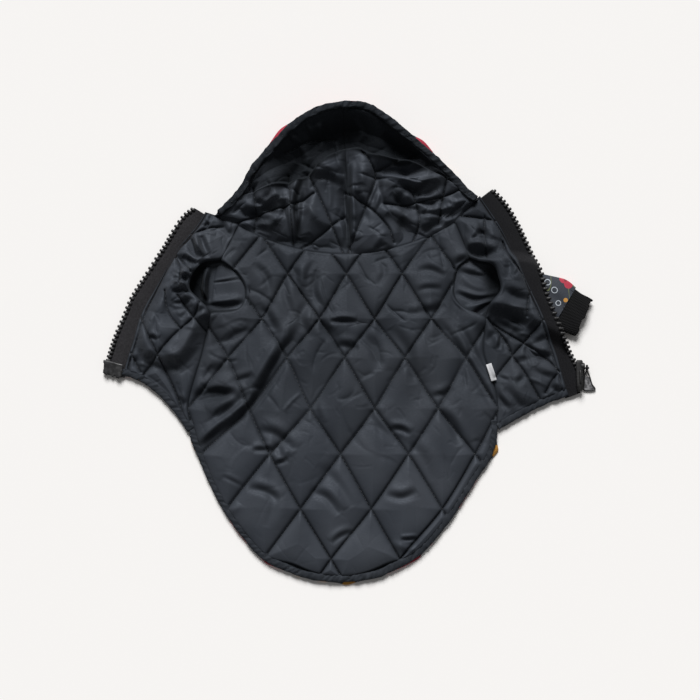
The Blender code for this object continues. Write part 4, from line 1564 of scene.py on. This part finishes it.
@dataclass
class OuterCloth:
    """The printed outer cloth of each panel, lying under its lining."""

    cloth: Material
    thickness: float = 1.0
    inset: float = 0.8  # how far its edge lies inside the outline
    flap_inset: float = 1.8
    let_out: float = 2.6  # how far past that a dab of the print shows

    def build(self) -> None:
        """Builds the five panels."""
        plan = back_plan(120, 110, self.inset)
        self.panel("printed_back", "back_outer", plan)
        for side in Side:
            name, node = f"printed_{side.word}_flap", f"{side.word}_flap_outer"
            plan = flap_plan(side, 90, 44, self.flap_inset)
            self.panel(name, node, plan)
        columns = 160
        neck, rim = neck_path(columns), along(RIM_TABLE, columns)
        share = np.linspace(0.0, 1.0, 70)[:, None, None]
        plan = neck * (1 - share) + shifted(rim, -self.inset) * share
        reach = to_arch(np.broadcast_to(share[..., 0], (70, columns)), plan)
        under = hood_heights(reach, columns)[0] - 0.6 * smooth((reach - 0.74) / 0.1)
        for side, part in hood_halves(columns):
            self.panel(
                f"printed_{side.word}_hood", f"hood_{side.word}_outer", plan[:, part],
                under[:, part],
            )

    def peeking(self, plan: Array) -> Array:
        """The plan with its border let out where the print shows past the hem.

        Args:
            plan: (rows, columns, 2).

        Returns:
            The new plan.
        """
        plan = plan.copy()
        for edge, inner in (
            ((-1, slice(1, -1)), (-4, slice(1, -1))), ((slice(None), 0), (slice(None), 3)),
            ((slice(None), -1), (slice(None), -4)),
        ):
            away = plan[edge] - plan[inner]
            share = np.zeros(len(away))
            for x, y, radius, _ in PrintedCloth.placed[:8]:
                gap = np.hypot(plan[edge][:, 0] - x, plan[edge][:, 1] - y)
                share = np.maximum(share, bell(gap, radius))
            plan[edge] += unit(away) * (self.let_out * share)[:, None]
        return plan

    def panel(
        self, name: str, node: str, plan: Array,
        ground: Array | None = None,
    ) -> None:
        """One panel.

        Args:
            name: the piece's name.
            node: the solid that it replaces.
            plan: its plan.
            ground: the height of its lower side, or none where it follows the ground.
        """
        plan = self.peeking(plan)
        x, y = plan[..., 0], plan[..., 1]
        low = lift(x, y) if ground is None else ground
        low = low + 0.25 * smooth(low / 2.0) * waves(x, y, 16.0, 71)
        low = np.maximum(low, 0.0)
        lower = np.concatenate([plan, low[..., None]], axis=2)
        upper = lower + (0.0, 0.0, self.thickness)
        made = grid_object(name, upper, self.cloth, under=lower)
        settle_on(made, "printed_cloth", node)


@dataclass
class RolledHem:
    """The lining rolled over the edge of the outer cloth and topstitched: a soft band."""

    nylon: Material
    thread: Material
    width: float = 4.6
    height: float = 2.7
    outset: float = 0.85  # how far the band's outer edge lies inside the outline
    stitches: list[Array] = field(default_factory=list)

    def build(self) -> None:
        """Builds the hems of the back, the flaps and the hood's rim."""
        back = back_plan(200, 90, 0.0)
        hem = along(BACK_TABLE, 200)[:, 5] > 0.5
        tail = np.concatenate([back[hem, 0], back[-1, 1:-1], back[hem, -1][::-1]])
        self.band("rolled_back_hem", "hem_back", tail, 61)
        for side in Side:
            edge = flap_plan(side, 90, 90, 0.0)[-1]
            self.band(f"rolled_{side.word}_hem", f"hem_{side.word}", edge, 63 + side.value)
        rim = along(RIM_TABLE, 300)
        under, over = hood_heights(np.full((1, 300), 0.975), 300)
        middle = under[0] * 0.35 + over[0] * 0.65
        for side, part in hood_halves(300):
            self.band(
                f"rolled_{side.word}_rim", f"hood_binding_{side.word}", rim[part][::-1],
                66 + side.value, middle[part][::-1],
            )
        made = many_tubes("hem_stitches", self.stitches, self.thread)
        settle_on(made, "quilted_lining")

    def band(
        self, name: str, node: str, edge: Array, seed: int, centre: Array | None = None
    ) -> None:
        """One band along an edge, with the cloth on its left.

        Args:
            name: the piece's name.
            node: the solid that it replaces.
            edge: the outline.
            seed: picks its puckers.
            centre: the height of its middle, or none where it lies on the ground.
        """
        length = length_of(edge)
        count = max(40, int(length / 0.7))
        path = along(edge, count)
        on_ground = centre is None
        if on_ground:
            centre = np.full(len(edge), 1.8)
        level = np.interp(np.linspace(0, len(edge) - 1, count), np.arange(len(edge)), centre)
        at = np.linspace(0.0, length, count)
        still = np.zeros(count)
        swell = 1.0 + 0.10 * waves(at, still, 14.0, seed) + 0.07 * waves(at, still, 5.0, seed + 1)
        turn = angles(18)
        rings = np.zeros((count, 18, 3))
        normal = shifted(path, 1.0) - path
        for i, (reach, rise) in enumerate(zip(np.cos(turn), np.sin(turn))):
            twist = waves(at + 2.2 * reach, still + 3.0 * rise, 3.6, seed + 2)
            out = self.width / 2 * (1 - reach * np.abs(reach) ** -0.25 * swell) + self.outset
            rings[:, i, :2] = path + normal * out[:, None]
            tall = self.height / 2 * swell * rise * np.abs(rise + 1e-9) ** -0.3
            rings[:, i, 2] = level + tall + (0.38 if on_ground else 0.6) * twist
        if on_ground:
            rings[..., 2] = np.maximum(rings[..., 2], 0.05)
        # Painted shade: the band darkened all over, more on the hood's rim, with random variation,
        # and most on the side that meets the lining.
        inward = np.exp(-((turn % TURN - math.pi) ** 2) / 0.3)
        shaded = (0.52 if on_ground else 0.74) + 0.16 * waves(at, still, 6.0, seed + 4)
        cavity = np.clip(shaded[:, None] + 0.3 * inward[None, :], 0.0, 0.95)
        made = many_tubes(name, [rings], self.nylon, {"cavity": cavity})
        settle_on(made, "quilted_lining", node)
        seam = shifted(path, self.width - 1.15)
        top = level + self.height / 2 - 0.30
        for i in range(0, count - 3, 4):
            dots = np.concatenate([seam[i:i + 3], top[i:i + 3, None]], axis=1)
            dots[1, 2] += 0.12
            self.stitches.append(stitch(dots))


SLEEVE_PATHS = {
    # x, y, half width along each sleeve, then along its cuff
    Side.LEFT: (
        ((-97.5, 26.5, 11.9), (-102, 21.5, 11.5), (-107, 13, 11)),
        ((-107.3, 12.4, 11), (-110, 7, 10.6), (-112.5, 1.5, 10.8)),
    ),
    Side.RIGHT: (
        ((98, 34, 12), (108, 32, 12.6), (120, 27.5, 14.4), (127, 24, 16), (133.4, 20.2, 14.9)),
        ((132.6, 19.8, 15.2), (139, 17, 14), (145.5, 14, 13.2)),
    ),
}


@dataclass
class Sleeve:
    """A flattened sleeve of printed cloth, its rib-knit cuff and the lining in its armhole."""

    side: Side
    cloth: Material
    knit: Material
    nylon: Material
    height: float = 5.6
    ribs: int = 44
    rib: float = 0.12  # height of a rib
    overlap: float = 1.16  # size of the armhole's lining against the armhole

    def build(self) -> None:
        """Builds the sleeve, the cuff and the armhole's lining."""
        tube, cuff = SLEEVE_PATHS[self.side]
        self.tube(f"printed_{self.side.word}_sleeve", f"sleeve_{self.side.word}", tube, 46, 0.0)
        self.tube(f"knitted_{self.side.word}_cuff", f"cuff_{self.side.word}", cuff, 30, self.rib)
        self.lining()

    def tube(self, name: str, node: str, table: Any, count: int, rib: float) -> None:
        """A flattened tube along a path.

        Args:
            name: the piece's name.
            node: the solid that it replaces.
            table: rows of x, y and half width.
            count: rings.
            rib: the height of the knitted ribs.
        """
        rows = along(table, count)
        path = rows[:, :2]
        side = shifted(path, 1.0) - path
        around = self.ribs * 4 if rib else 72
        turn = angles(around)
        at = np.linspace(0.0, 1.0, count)[:, None]
        cos, sin = np.cos(turn)[None, :], np.sin(turn)[None, :]
        half = rows[:, 2:3] + rib * np.cos(self.ribs * turn)[None, :] - (0.6 if rib else 0.0)
        out = half * cos * (1 + 0.012 * np.sin(9 * at + 3 * sin))
        drape = np.sin(out * 0.55 + at * 5.0) * 0.35 * (1 - 0.6 * (rib > 0))
        tall = np.sign(sin) * np.abs(sin) ** 0.75 * (self.height / 2 - (0.4 if rib else 0.0))
        tall = tall + rib * np.cos(self.ribs * turn)[None, :] * np.sign(sin) + drape * (sin > 0)
        x = path[:, :1] + side[:, :1] * out
        y = path[:, 1:] + side[:, 1:] * out
        z = np.maximum(self.height / 2 + 0.1 + tall, 0.05)
        if rib:
            ragged = 0.5 * np.sin(5 * turn + 1.0) + 0.3 * np.sin(13 * turn)
            ahead = unit(path[-1] - path[-2])
            x = x + ahead[0] * ragged[None, :] * at**3
            y = y + ahead[1] * ragged[None, :] * at**3
        rings = np.stack([np.broadcast_to(v, (count, around)) for v in (x, y, z)], axis=2)
        if rib:
            rings = np.concatenate([rings, self.mouth(rings)])
        length = length_of(path)
        scale = np.linspace(0, length, len(rings))[:, None]
        stored = {
            "along": np.broadcast_to(scale, rings.shape[:2]),
            "across": np.broadcast_to(turn[None, :] * 4, rings.shape[:2]),
        }
        material = self.knit if rib else self.cloth
        made = many_tubes(name, [rings], material, stored, capped=False)
        settle_on(made, "rib_knit" if rib else "printed_cloth", node)

    def mouth(self, rings: Array) -> Array:
        """The cuff's open end, turned back into the sleeve.

        Args:
            rings: the outside.

        Returns:
            The rings inside its mouth.
        """
        last, middle = rings[-1], rings[-1].mean(axis=0)
        back = (rings[-6].mean(axis=0) - middle) * 1.2
        inner = [middle + (last - middle) * (0.93, 0.93, 0.72)]
        for step in (0.35, 0.7, 1.0):
            inner.append(middle + (last - middle) * (0.92, 0.92, 0.5 - 0.2 * step) + back * step)
        return np.stack(inner)

    def lining(self) -> None:
        """The sleeve's lining seen in the armhole: a shallow bowl with gathered folds."""
        ring = along((*ARMHOLES[self.side], ARMHOLES[self.side][0]), 97)[:-1]
        middle = ring.mean(axis=0)
        inward = -self.side.value
        toward = (ring[:, 0] - middle[0]) * inward / 16.0
        rows, dark = [], []
        for s in np.linspace(1.0, 0.0, 46):
            place = middle + (ring - middle) * (self.overlap * s)
            x, y = place[:, 0], place[:, 1]
            across = (x - middle[0]) * inward
            z = 0.8 + 1.5 * smooth((across + 9.0) / 18.0)
            for crease in ARMHOLE_CREASES[self.side]:
                z = z + crease.relief(x, y)
            z = z + 0.5 * crumple(x, y, 14.0, 91 + inward)
            rim = (2.9 + 0.4 * toward) * smooth((s - 0.84) / 0.14) * smooth((toward + 0.5) / 0.5)
            rim = np.maximum(rim, 2.7 * smooth((s - 0.83) / 0.06))
            rows.append(np.concatenate([place, np.maximum(z, rim)[:, None]], axis=1))
            # Painted shade: darker deeper into the sleeve, on the side that leads into it, and a
            # dark band along the armhole's edge.
            inner = np.clip(0.2 + 0.75 * smooth((-across - 2.0) / 9.0), 0.0, 0.95)
            dark.append(np.maximum(inner, 0.9 * smooth((s - 0.79) / 0.05)))
        points, dark = np.stack(rows), np.stack(dark)
        points = np.concatenate([points, points[:, :1]], axis=1)
        dark = np.concatenate([dark, dark[:, :1]], axis=1)
        points[..., 2] = np.maximum(points[..., 2], 0.5)
        name = f"lining_in_{self.side.word}_armhole"
        made = grid_object(name, points, self.nylon, {"cavity": dark})
        settle_on(made, "quilted_lining")


@dataclass
class ZipSide:
    """One side of the open zip: its woven tape and its moulded teeth."""

    side: Side
    webbing: Material
    plastic: Material
    pitch: float = 2.9
    tucked: float = 2.2  # how far the tape reaches under the flap's lining
    tooth: tuple[Triple, ...] = (
        # how far out, half width and half height of each section
        (-2.4, 0.6, 0.7), (-2.1, 1, 1), (-0.9, 1, 1.1), (-0.4, 0.78, 1), (0.3, 0.86, 1.05),
        (0.75, 0.76, 0.9), (0.95, 0.4, 0.5),
    )

    def build(self) -> None:
        """Builds the tape and the teeth."""
        rows = along(FLAP_TABLES[self.side], 240)
        tip, edge = rows[:, 0:2], rows[:, 2:4]
        out = tip - edge
        width = np.linalg.norm(out, axis=1)[:, None]
        out = unit(out)
        share = np.linspace(0.0, 1.0, 15)
        plan = np.stack([edge + out * ((width + 1.0) * s - self.tucked) for s in share], axis=1)
        x, y = plan[..., 0], plan[..., 1]
        at = np.linspace(0, 1, 240)[:, None]
        low = lift(x, y) + 1.0
        crown = 0.5 * np.sin(math.pi * share)[None, :] + 0.22 * waves(x, y, 16.0, 81)
        upper = np.concatenate([plan, (low + 0.9 + crown)[..., None]], axis=2)
        under = np.concatenate([plan, low[..., None]], axis=2)
        if self.side is Side.LEFT:
            upper, under = upper[:, ::-1], under[:, ::-1]
        length = length_of(tip)
        stored = {
            "along": np.broadcast_to(at * length, x.shape),
            "across": np.broadcast_to(share[None, :] * 11.0, x.shape),
        }
        made = grid_object(f"woven_tape_{self.side.word}", upper, self.webbing, stored, under)
        settle_on(made, "zip_webbing", f"zip_tape_{self.side.word}")
        self.teeth(tip, out, length)

    def teeth(self, tip: Array, out: Array, length: float) -> None:
        """The moulded teeth.

        Args:
            tip: the path of the teeth.
            out: the outward direction at each point.
            length: the path's length.
        """
        last = 1.0 if self.side is Side.LEFT else 0.985
        count = int(length * last / self.pitch)
        at = (np.arange(count) + 0.6) * self.pitch / length * (len(tip) - 1)
        tubes, steps = [], np.arange(len(tip))
        for place in at:
            centre, ahead = (
                np.array([np.interp(place, steps, rows[:, k]) for k in (0, 1)])
                for rows in (tip, out)
            )
            base = float(lift(centre[0], centre[1])) + 1.95
            tubes.append(np.stack([
                rounded_ring(centre + ahead * (reach - 0.9), ahead, base, wide, tall)
                for reach, wide, tall in self.tooth
            ]))
        made = many_tubes(f"moulded_teeth_{self.side.word}", tubes, self.plastic)
        settle_on(made, "zip_plastic", f"zip_teeth_{self.side.word}")


def rounded_ring(centre: Array, ahead: Array, height: float, wide: float, tall: float) -> Array:
    """An upright rounded section across a direction.

    Args:
        centre: its X and Y.
        ahead: the direction it faces.
        height: its Z.
        wide: its half width.
        tall: its half height.

    Returns:
        Ten points.
    """
    turn = angles(10) + 0.3
    cos, sin = np.cos(turn), np.sin(turn)
    across = np.sign(cos) * np.abs(cos) ** 0.6 * wide
    rise = np.sign(sin) * np.abs(sin) ** 0.6 * tall
    side = np.array([-ahead[1], ahead[0]])
    place = centre[None, :] + side[None, :] * across[:, None]
    return np.concatenate([place, (height + rise)[:, None]], axis=1)


@dataclass
class Slider:
    """The zip's slider, left at the foot of the right side, with its hanging pull."""

    plastic: Material
    film: Material
    centre: tuple[float, float] = (142.1, -22.3)
    pin: tuple[float, float] = (-17.5, 2.4)
    boss: tuple[float, float] = (-16.6, 2.6)
    plates: tuple = ((0.825, 0.675), (3.9, 0.7))  # middle and half height of each
    outline: tuple = (
        # how far along and half width
        (-9.4, 1.2), (-9, 1.8), (-5, 2.1), (-1, 2.2), (4, 2.3), (7.5, 2.3), (9, 2), (9.5, 1.4),
    )
    eye: tuple[float, float] = (1.45, 0.68)  # radius of the pull's eye and of its ring
    bridge: tuple = ((-5.5, 4), (-4.5, 4.7), (-1, 4.9), (2, 4.7), (3.2, 4.1))
    strands: tuple = (
        ((146.9, -18.8, 2.4), (145.4, -22.4, 1.9), (145, -27, 1.4), (145, -31, 1)),
        ((146.9, -18.8, 2.4), (148.6, -23.4, 1.9), (149.8, -27.4, 1.4), (151.6, -30.8, 1)),
    )

    def block(self, ends: Any, height: float, aside: float = 0.0) -> Array:
        """An upright block along the slider.

        Args:
            ends: how far along, half width and half height of each section.
            height: the height of its middle.
            aside: how far it stands to the right.

        Returns:
            Its rings.
        """
        x, y = self.centre
        return np.stack([
            rounded_ring(np.array([x + aside, y + at]), np.array([0.0, 1.0]), height, wide, tall)
            for at, wide, tall in ends
        ])

    def build(self) -> None:
        """Builds the body, which stays with the coat, and the pull, which swings."""
        x, y = self.centre
        parts = []
        for middle, half in self.plates:
            ends = [(at, wide, half - (0.15 if abs(at) > 9 else 0.0)) for at, wide in self.outline]
            parts.append(self.block(ends, middle))
        parts.append(self.block([(at, 1.0, 1.2) for at in (-6.0, -5.0, 6.0, 7.0)], 2.35))
        bridge = np.array([(x + 0.4, y + at, height) for at, height in self.bridge])
        parts.append(round_tube(along(bridge, 14), 0.7, 10))
        boss = np.array([(x + aside, *self.boss) for aside in (0.8, 2.2, 3.4)])
        parts.append(round_tube(along(boss, 8), 2.3, 20, taper=0.8))
        parts.append(self.block([(at, 1.7, 0.08) for at in (-8.0, -7.6, 5.6, 6.0)], 0.14, 1.9))
        pin = np.array([(x + aside, *self.pin) for aside in (2.2, 6.1)])
        parts.append(round_tube(along(pin, 3), 0.62, 12))
        made = many_tubes("slider_body", parts, self.plastic)
        settle_on(made, "zip_plastic", "zip_slider")
        self.pull()

    def pull(self) -> None:
        """The drop-shaped loop that swings on the slider's pin."""
        x, (y, z) = self.centre[0] + 4.8, self.pin
        turn, (radius, wire) = np.linspace(0, TURN, 21), self.eye
        eye = np.stack(
            [np.full(21, x), y + radius * np.cos(turn), z + radius * np.sin(turn)], axis=1
        )
        left, right = self.strands
        outline = np.array([*left, *right[::-1], left[0]])
        thin = np.array([0.0, 0.0, 0.12])
        web = np.stack([
            np.stack([a - thin, b - thin, b + thin, a + thin])
            for a, b in zip(np.array(left[1:]), np.array(right[1:]))
        ])
        film = many_tubes("pull_film", [web], self.film, crisp=True)
        loop = [round_tube(eye, wire, 10), round_tube(along(outline, 70), 0.46, 8)]
        made = many_tubes("pull_loop", loop, self.plastic)
        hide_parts("zip_pull")
        for thing in (film, made):
            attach(thing, "pull")


@dataclass
class SmallParts:
    """The blank care label and the stiff foot of the left zip tape."""

    satin: Material
    film: Material
    layers: Layers
    lean: float = 17.0
    label_at: tuple[float, float] = (87.6, -20.5)
    label_size: tuple[float, float] = (11.0, 3.5)
    foot_corners: tuple = ((-151.4, -12.6), (-139.6, -15.6), (-140.6, -23.4), (-150.8, -20.2))
    end_pin: tuple[Triple, ...] = ((-150.6, -13.4, 3), (-150.8, -17, 2.6), (-150.4, -20.4, 2))

    def build(self) -> None:
        """Builds both."""
        self.label()
        self.foot()

    def label(self) -> None:
        """A folded satin strip that stands out of the side seam."""
        tilt, (long, wide) = math.radians(self.lean), self.label_size
        ahead = np.array([math.sin(tilt), -math.cos(tilt)])
        side = np.array([ahead[1], -ahead[0]])
        start = np.array(self.label_at) - ahead * 5.4
        rows, columns = 26, 9
        points = np.zeros((rows, columns, 3))
        for i, s in enumerate(np.linspace(0, 1, rows)):
            for j, t in enumerate(np.linspace(-1, 1, columns)):
                place = start + ahead * long * s + side * (wide / 2 * t)
                top = self.layers.top(*place, fallback=4.0)
                rise = 0.5 + 1.1 * math.sin(math.pi * s) + 0.2 * math.sin(TURN * s + 1) * t
                points[i, j] = (*place, top * 0.5 + 2.4 + rise)
        points[..., 2] = 0.55 * points[..., 2] + 0.45 * points[..., 2].mean() + 0.3
        made = grid_object("label_strip", points, self.satin, under=points - (0.0, 0.0, 0.35))
        settle_on(made, "satin_label", "care_label")

    def foot(self) -> None:
        """The stiffening film over the left tape's foot, and the end pin."""
        corners = np.array(self.foot_corners)
        rows, columns = 12, 16
        points = np.zeros((rows, columns, 3))
        for i, s in enumerate(np.linspace(0, 1, rows)):
            for j, t in enumerate(np.linspace(0, 1, columns)):
                top = corners[0] * (1 - t) + corners[1] * t
                low = corners[3] * (1 - t) + corners[2] * t
                place = top * (1 - s) + low * s
                place[1] -= 1.5 * s * abs(math.sin(9 * t + 1)) + 0.4 * s * math.sin(31 * t)
                place[0] -= 0.5 * (1 - t) * math.sin(11 * s)
                points[i, j] = (*place, 4.0 - 1.2 * s + 0.3 * math.sin(6 * t + 2 * s))
        made = grid_object("tape_foot", points, self.film, under=points - (0.0, 0.0, 0.7))
        settle_on(made, "zip_plastic", "zip_pin_left")
        pin = round_tube(along(self.end_pin, 6), 0.8, 10, taper=0.7)
        made = many_tubes("end_pin", [pin], self.film)
        settle_on(made, "zip_plastic")


# ---------------------------------------------------------------- studio


@dataclass
class Studio:
    """Pale floor, a broad soft key light from beyond the hood, and the camera."""

    elevation: float = 80.0
    distance: float = 1.15
    lens: float = 95.4
    aim: Triple = (0.0, -0.0055, 0.0)
    source: Triple = (-0.10, 0.86, 0.72)
    key: float = 4.05
    spread: float = 30.0
    ambient: float = 0.16

    def build(self, paper: Material) -> None:
        """Makes the floor, the lights, the world and the camera."""
        mesh = bpy.data.meshes.new("floor")
        mesh.from_pydata([(-3, -3, 0), (3, -3, 0), (3, 3, 0), (-3, 3, 0)], [], [(0, 1, 2, 3)])
        mesh.materials.append(paper)
        floor = linked("floor", mesh)
        world = bpy.data.worlds.new("studio")
        world.use_nodes = True
        background = world.node_tree.nodes["Background"]
        background.inputs[0].default_value = (1.0, 1.0, 1.0, 1.0)
        background.inputs[1].default_value = self.ambient
        bpy.context.scene.world = world
        bpy.context.scene.view_settings.view_transform = "Standard"
        data = bpy.data.cameras.new("camera")
        data.lens = self.lens
        camera = linked("camera", data)
        rise = math.radians(self.elevation)
        away = Vector((0.0, -math.cos(rise), math.sin(rise)))
        camera.location = Vector(self.aim) + self.distance * away
        camera.rotation_euler = (math.pi / 2 - rise, 0.0, 0.0)
        bpy.context.scene.camera = camera
        self.sun()

    def sun(self) -> Thing:
        """The key: a distant soft light."""
        data = bpy.data.lights.new("key", "SUN")
        data.energy, data.angle = self.key, math.radians(self.spread)
        made = linked("key", data)
        made.rotation_euler = Vector(self.source).to_track_quat("Z", "Y").to_euler()
        return made


def main() -> None:
    """Builds the coat piece by piece, then the studio round it."""
    logging.basicConfig(level=logging.INFO, format="%(name)s %(message)s")
    nylon, thread = QuiltedNylon().material(), Thread().material()
    cloth, plastic = PrintedCloth().material(), MouldedPlastic().material()
    dark = ZipWebbing().material()
    # Painted light: the left tape is a lighter copy of the same webbing.
    painted_lit = ZipWebbing("faded webbing", (0.019, 0.018, 0.020), (0.032, 0.031, 0.034)).material()
    knit = RibKnit().material()
    layers = Layers()
    OuterCloth(cloth).build()
    Quilting(nylon, thread, layers).build()
    RolledHem(nylon, thread).build()
    for side in Side:
        Sleeve(side, cloth, knit, nylon).build()
        ZipSide(side, painted_lit if side is Side.LEFT else dark, plastic).build()
    film = TapeFilm().material()
    clear = TapeFilm("clear film", (0.060, 0.060, 0.064), (0.260, 0.260, 0.270)).material()
    Slider(plastic, clear).build()
    SmallParts(Satin().material(), film, layers).build()
    Studio().build(Backdrop().material())


if __name__ == "__main__":
    main()
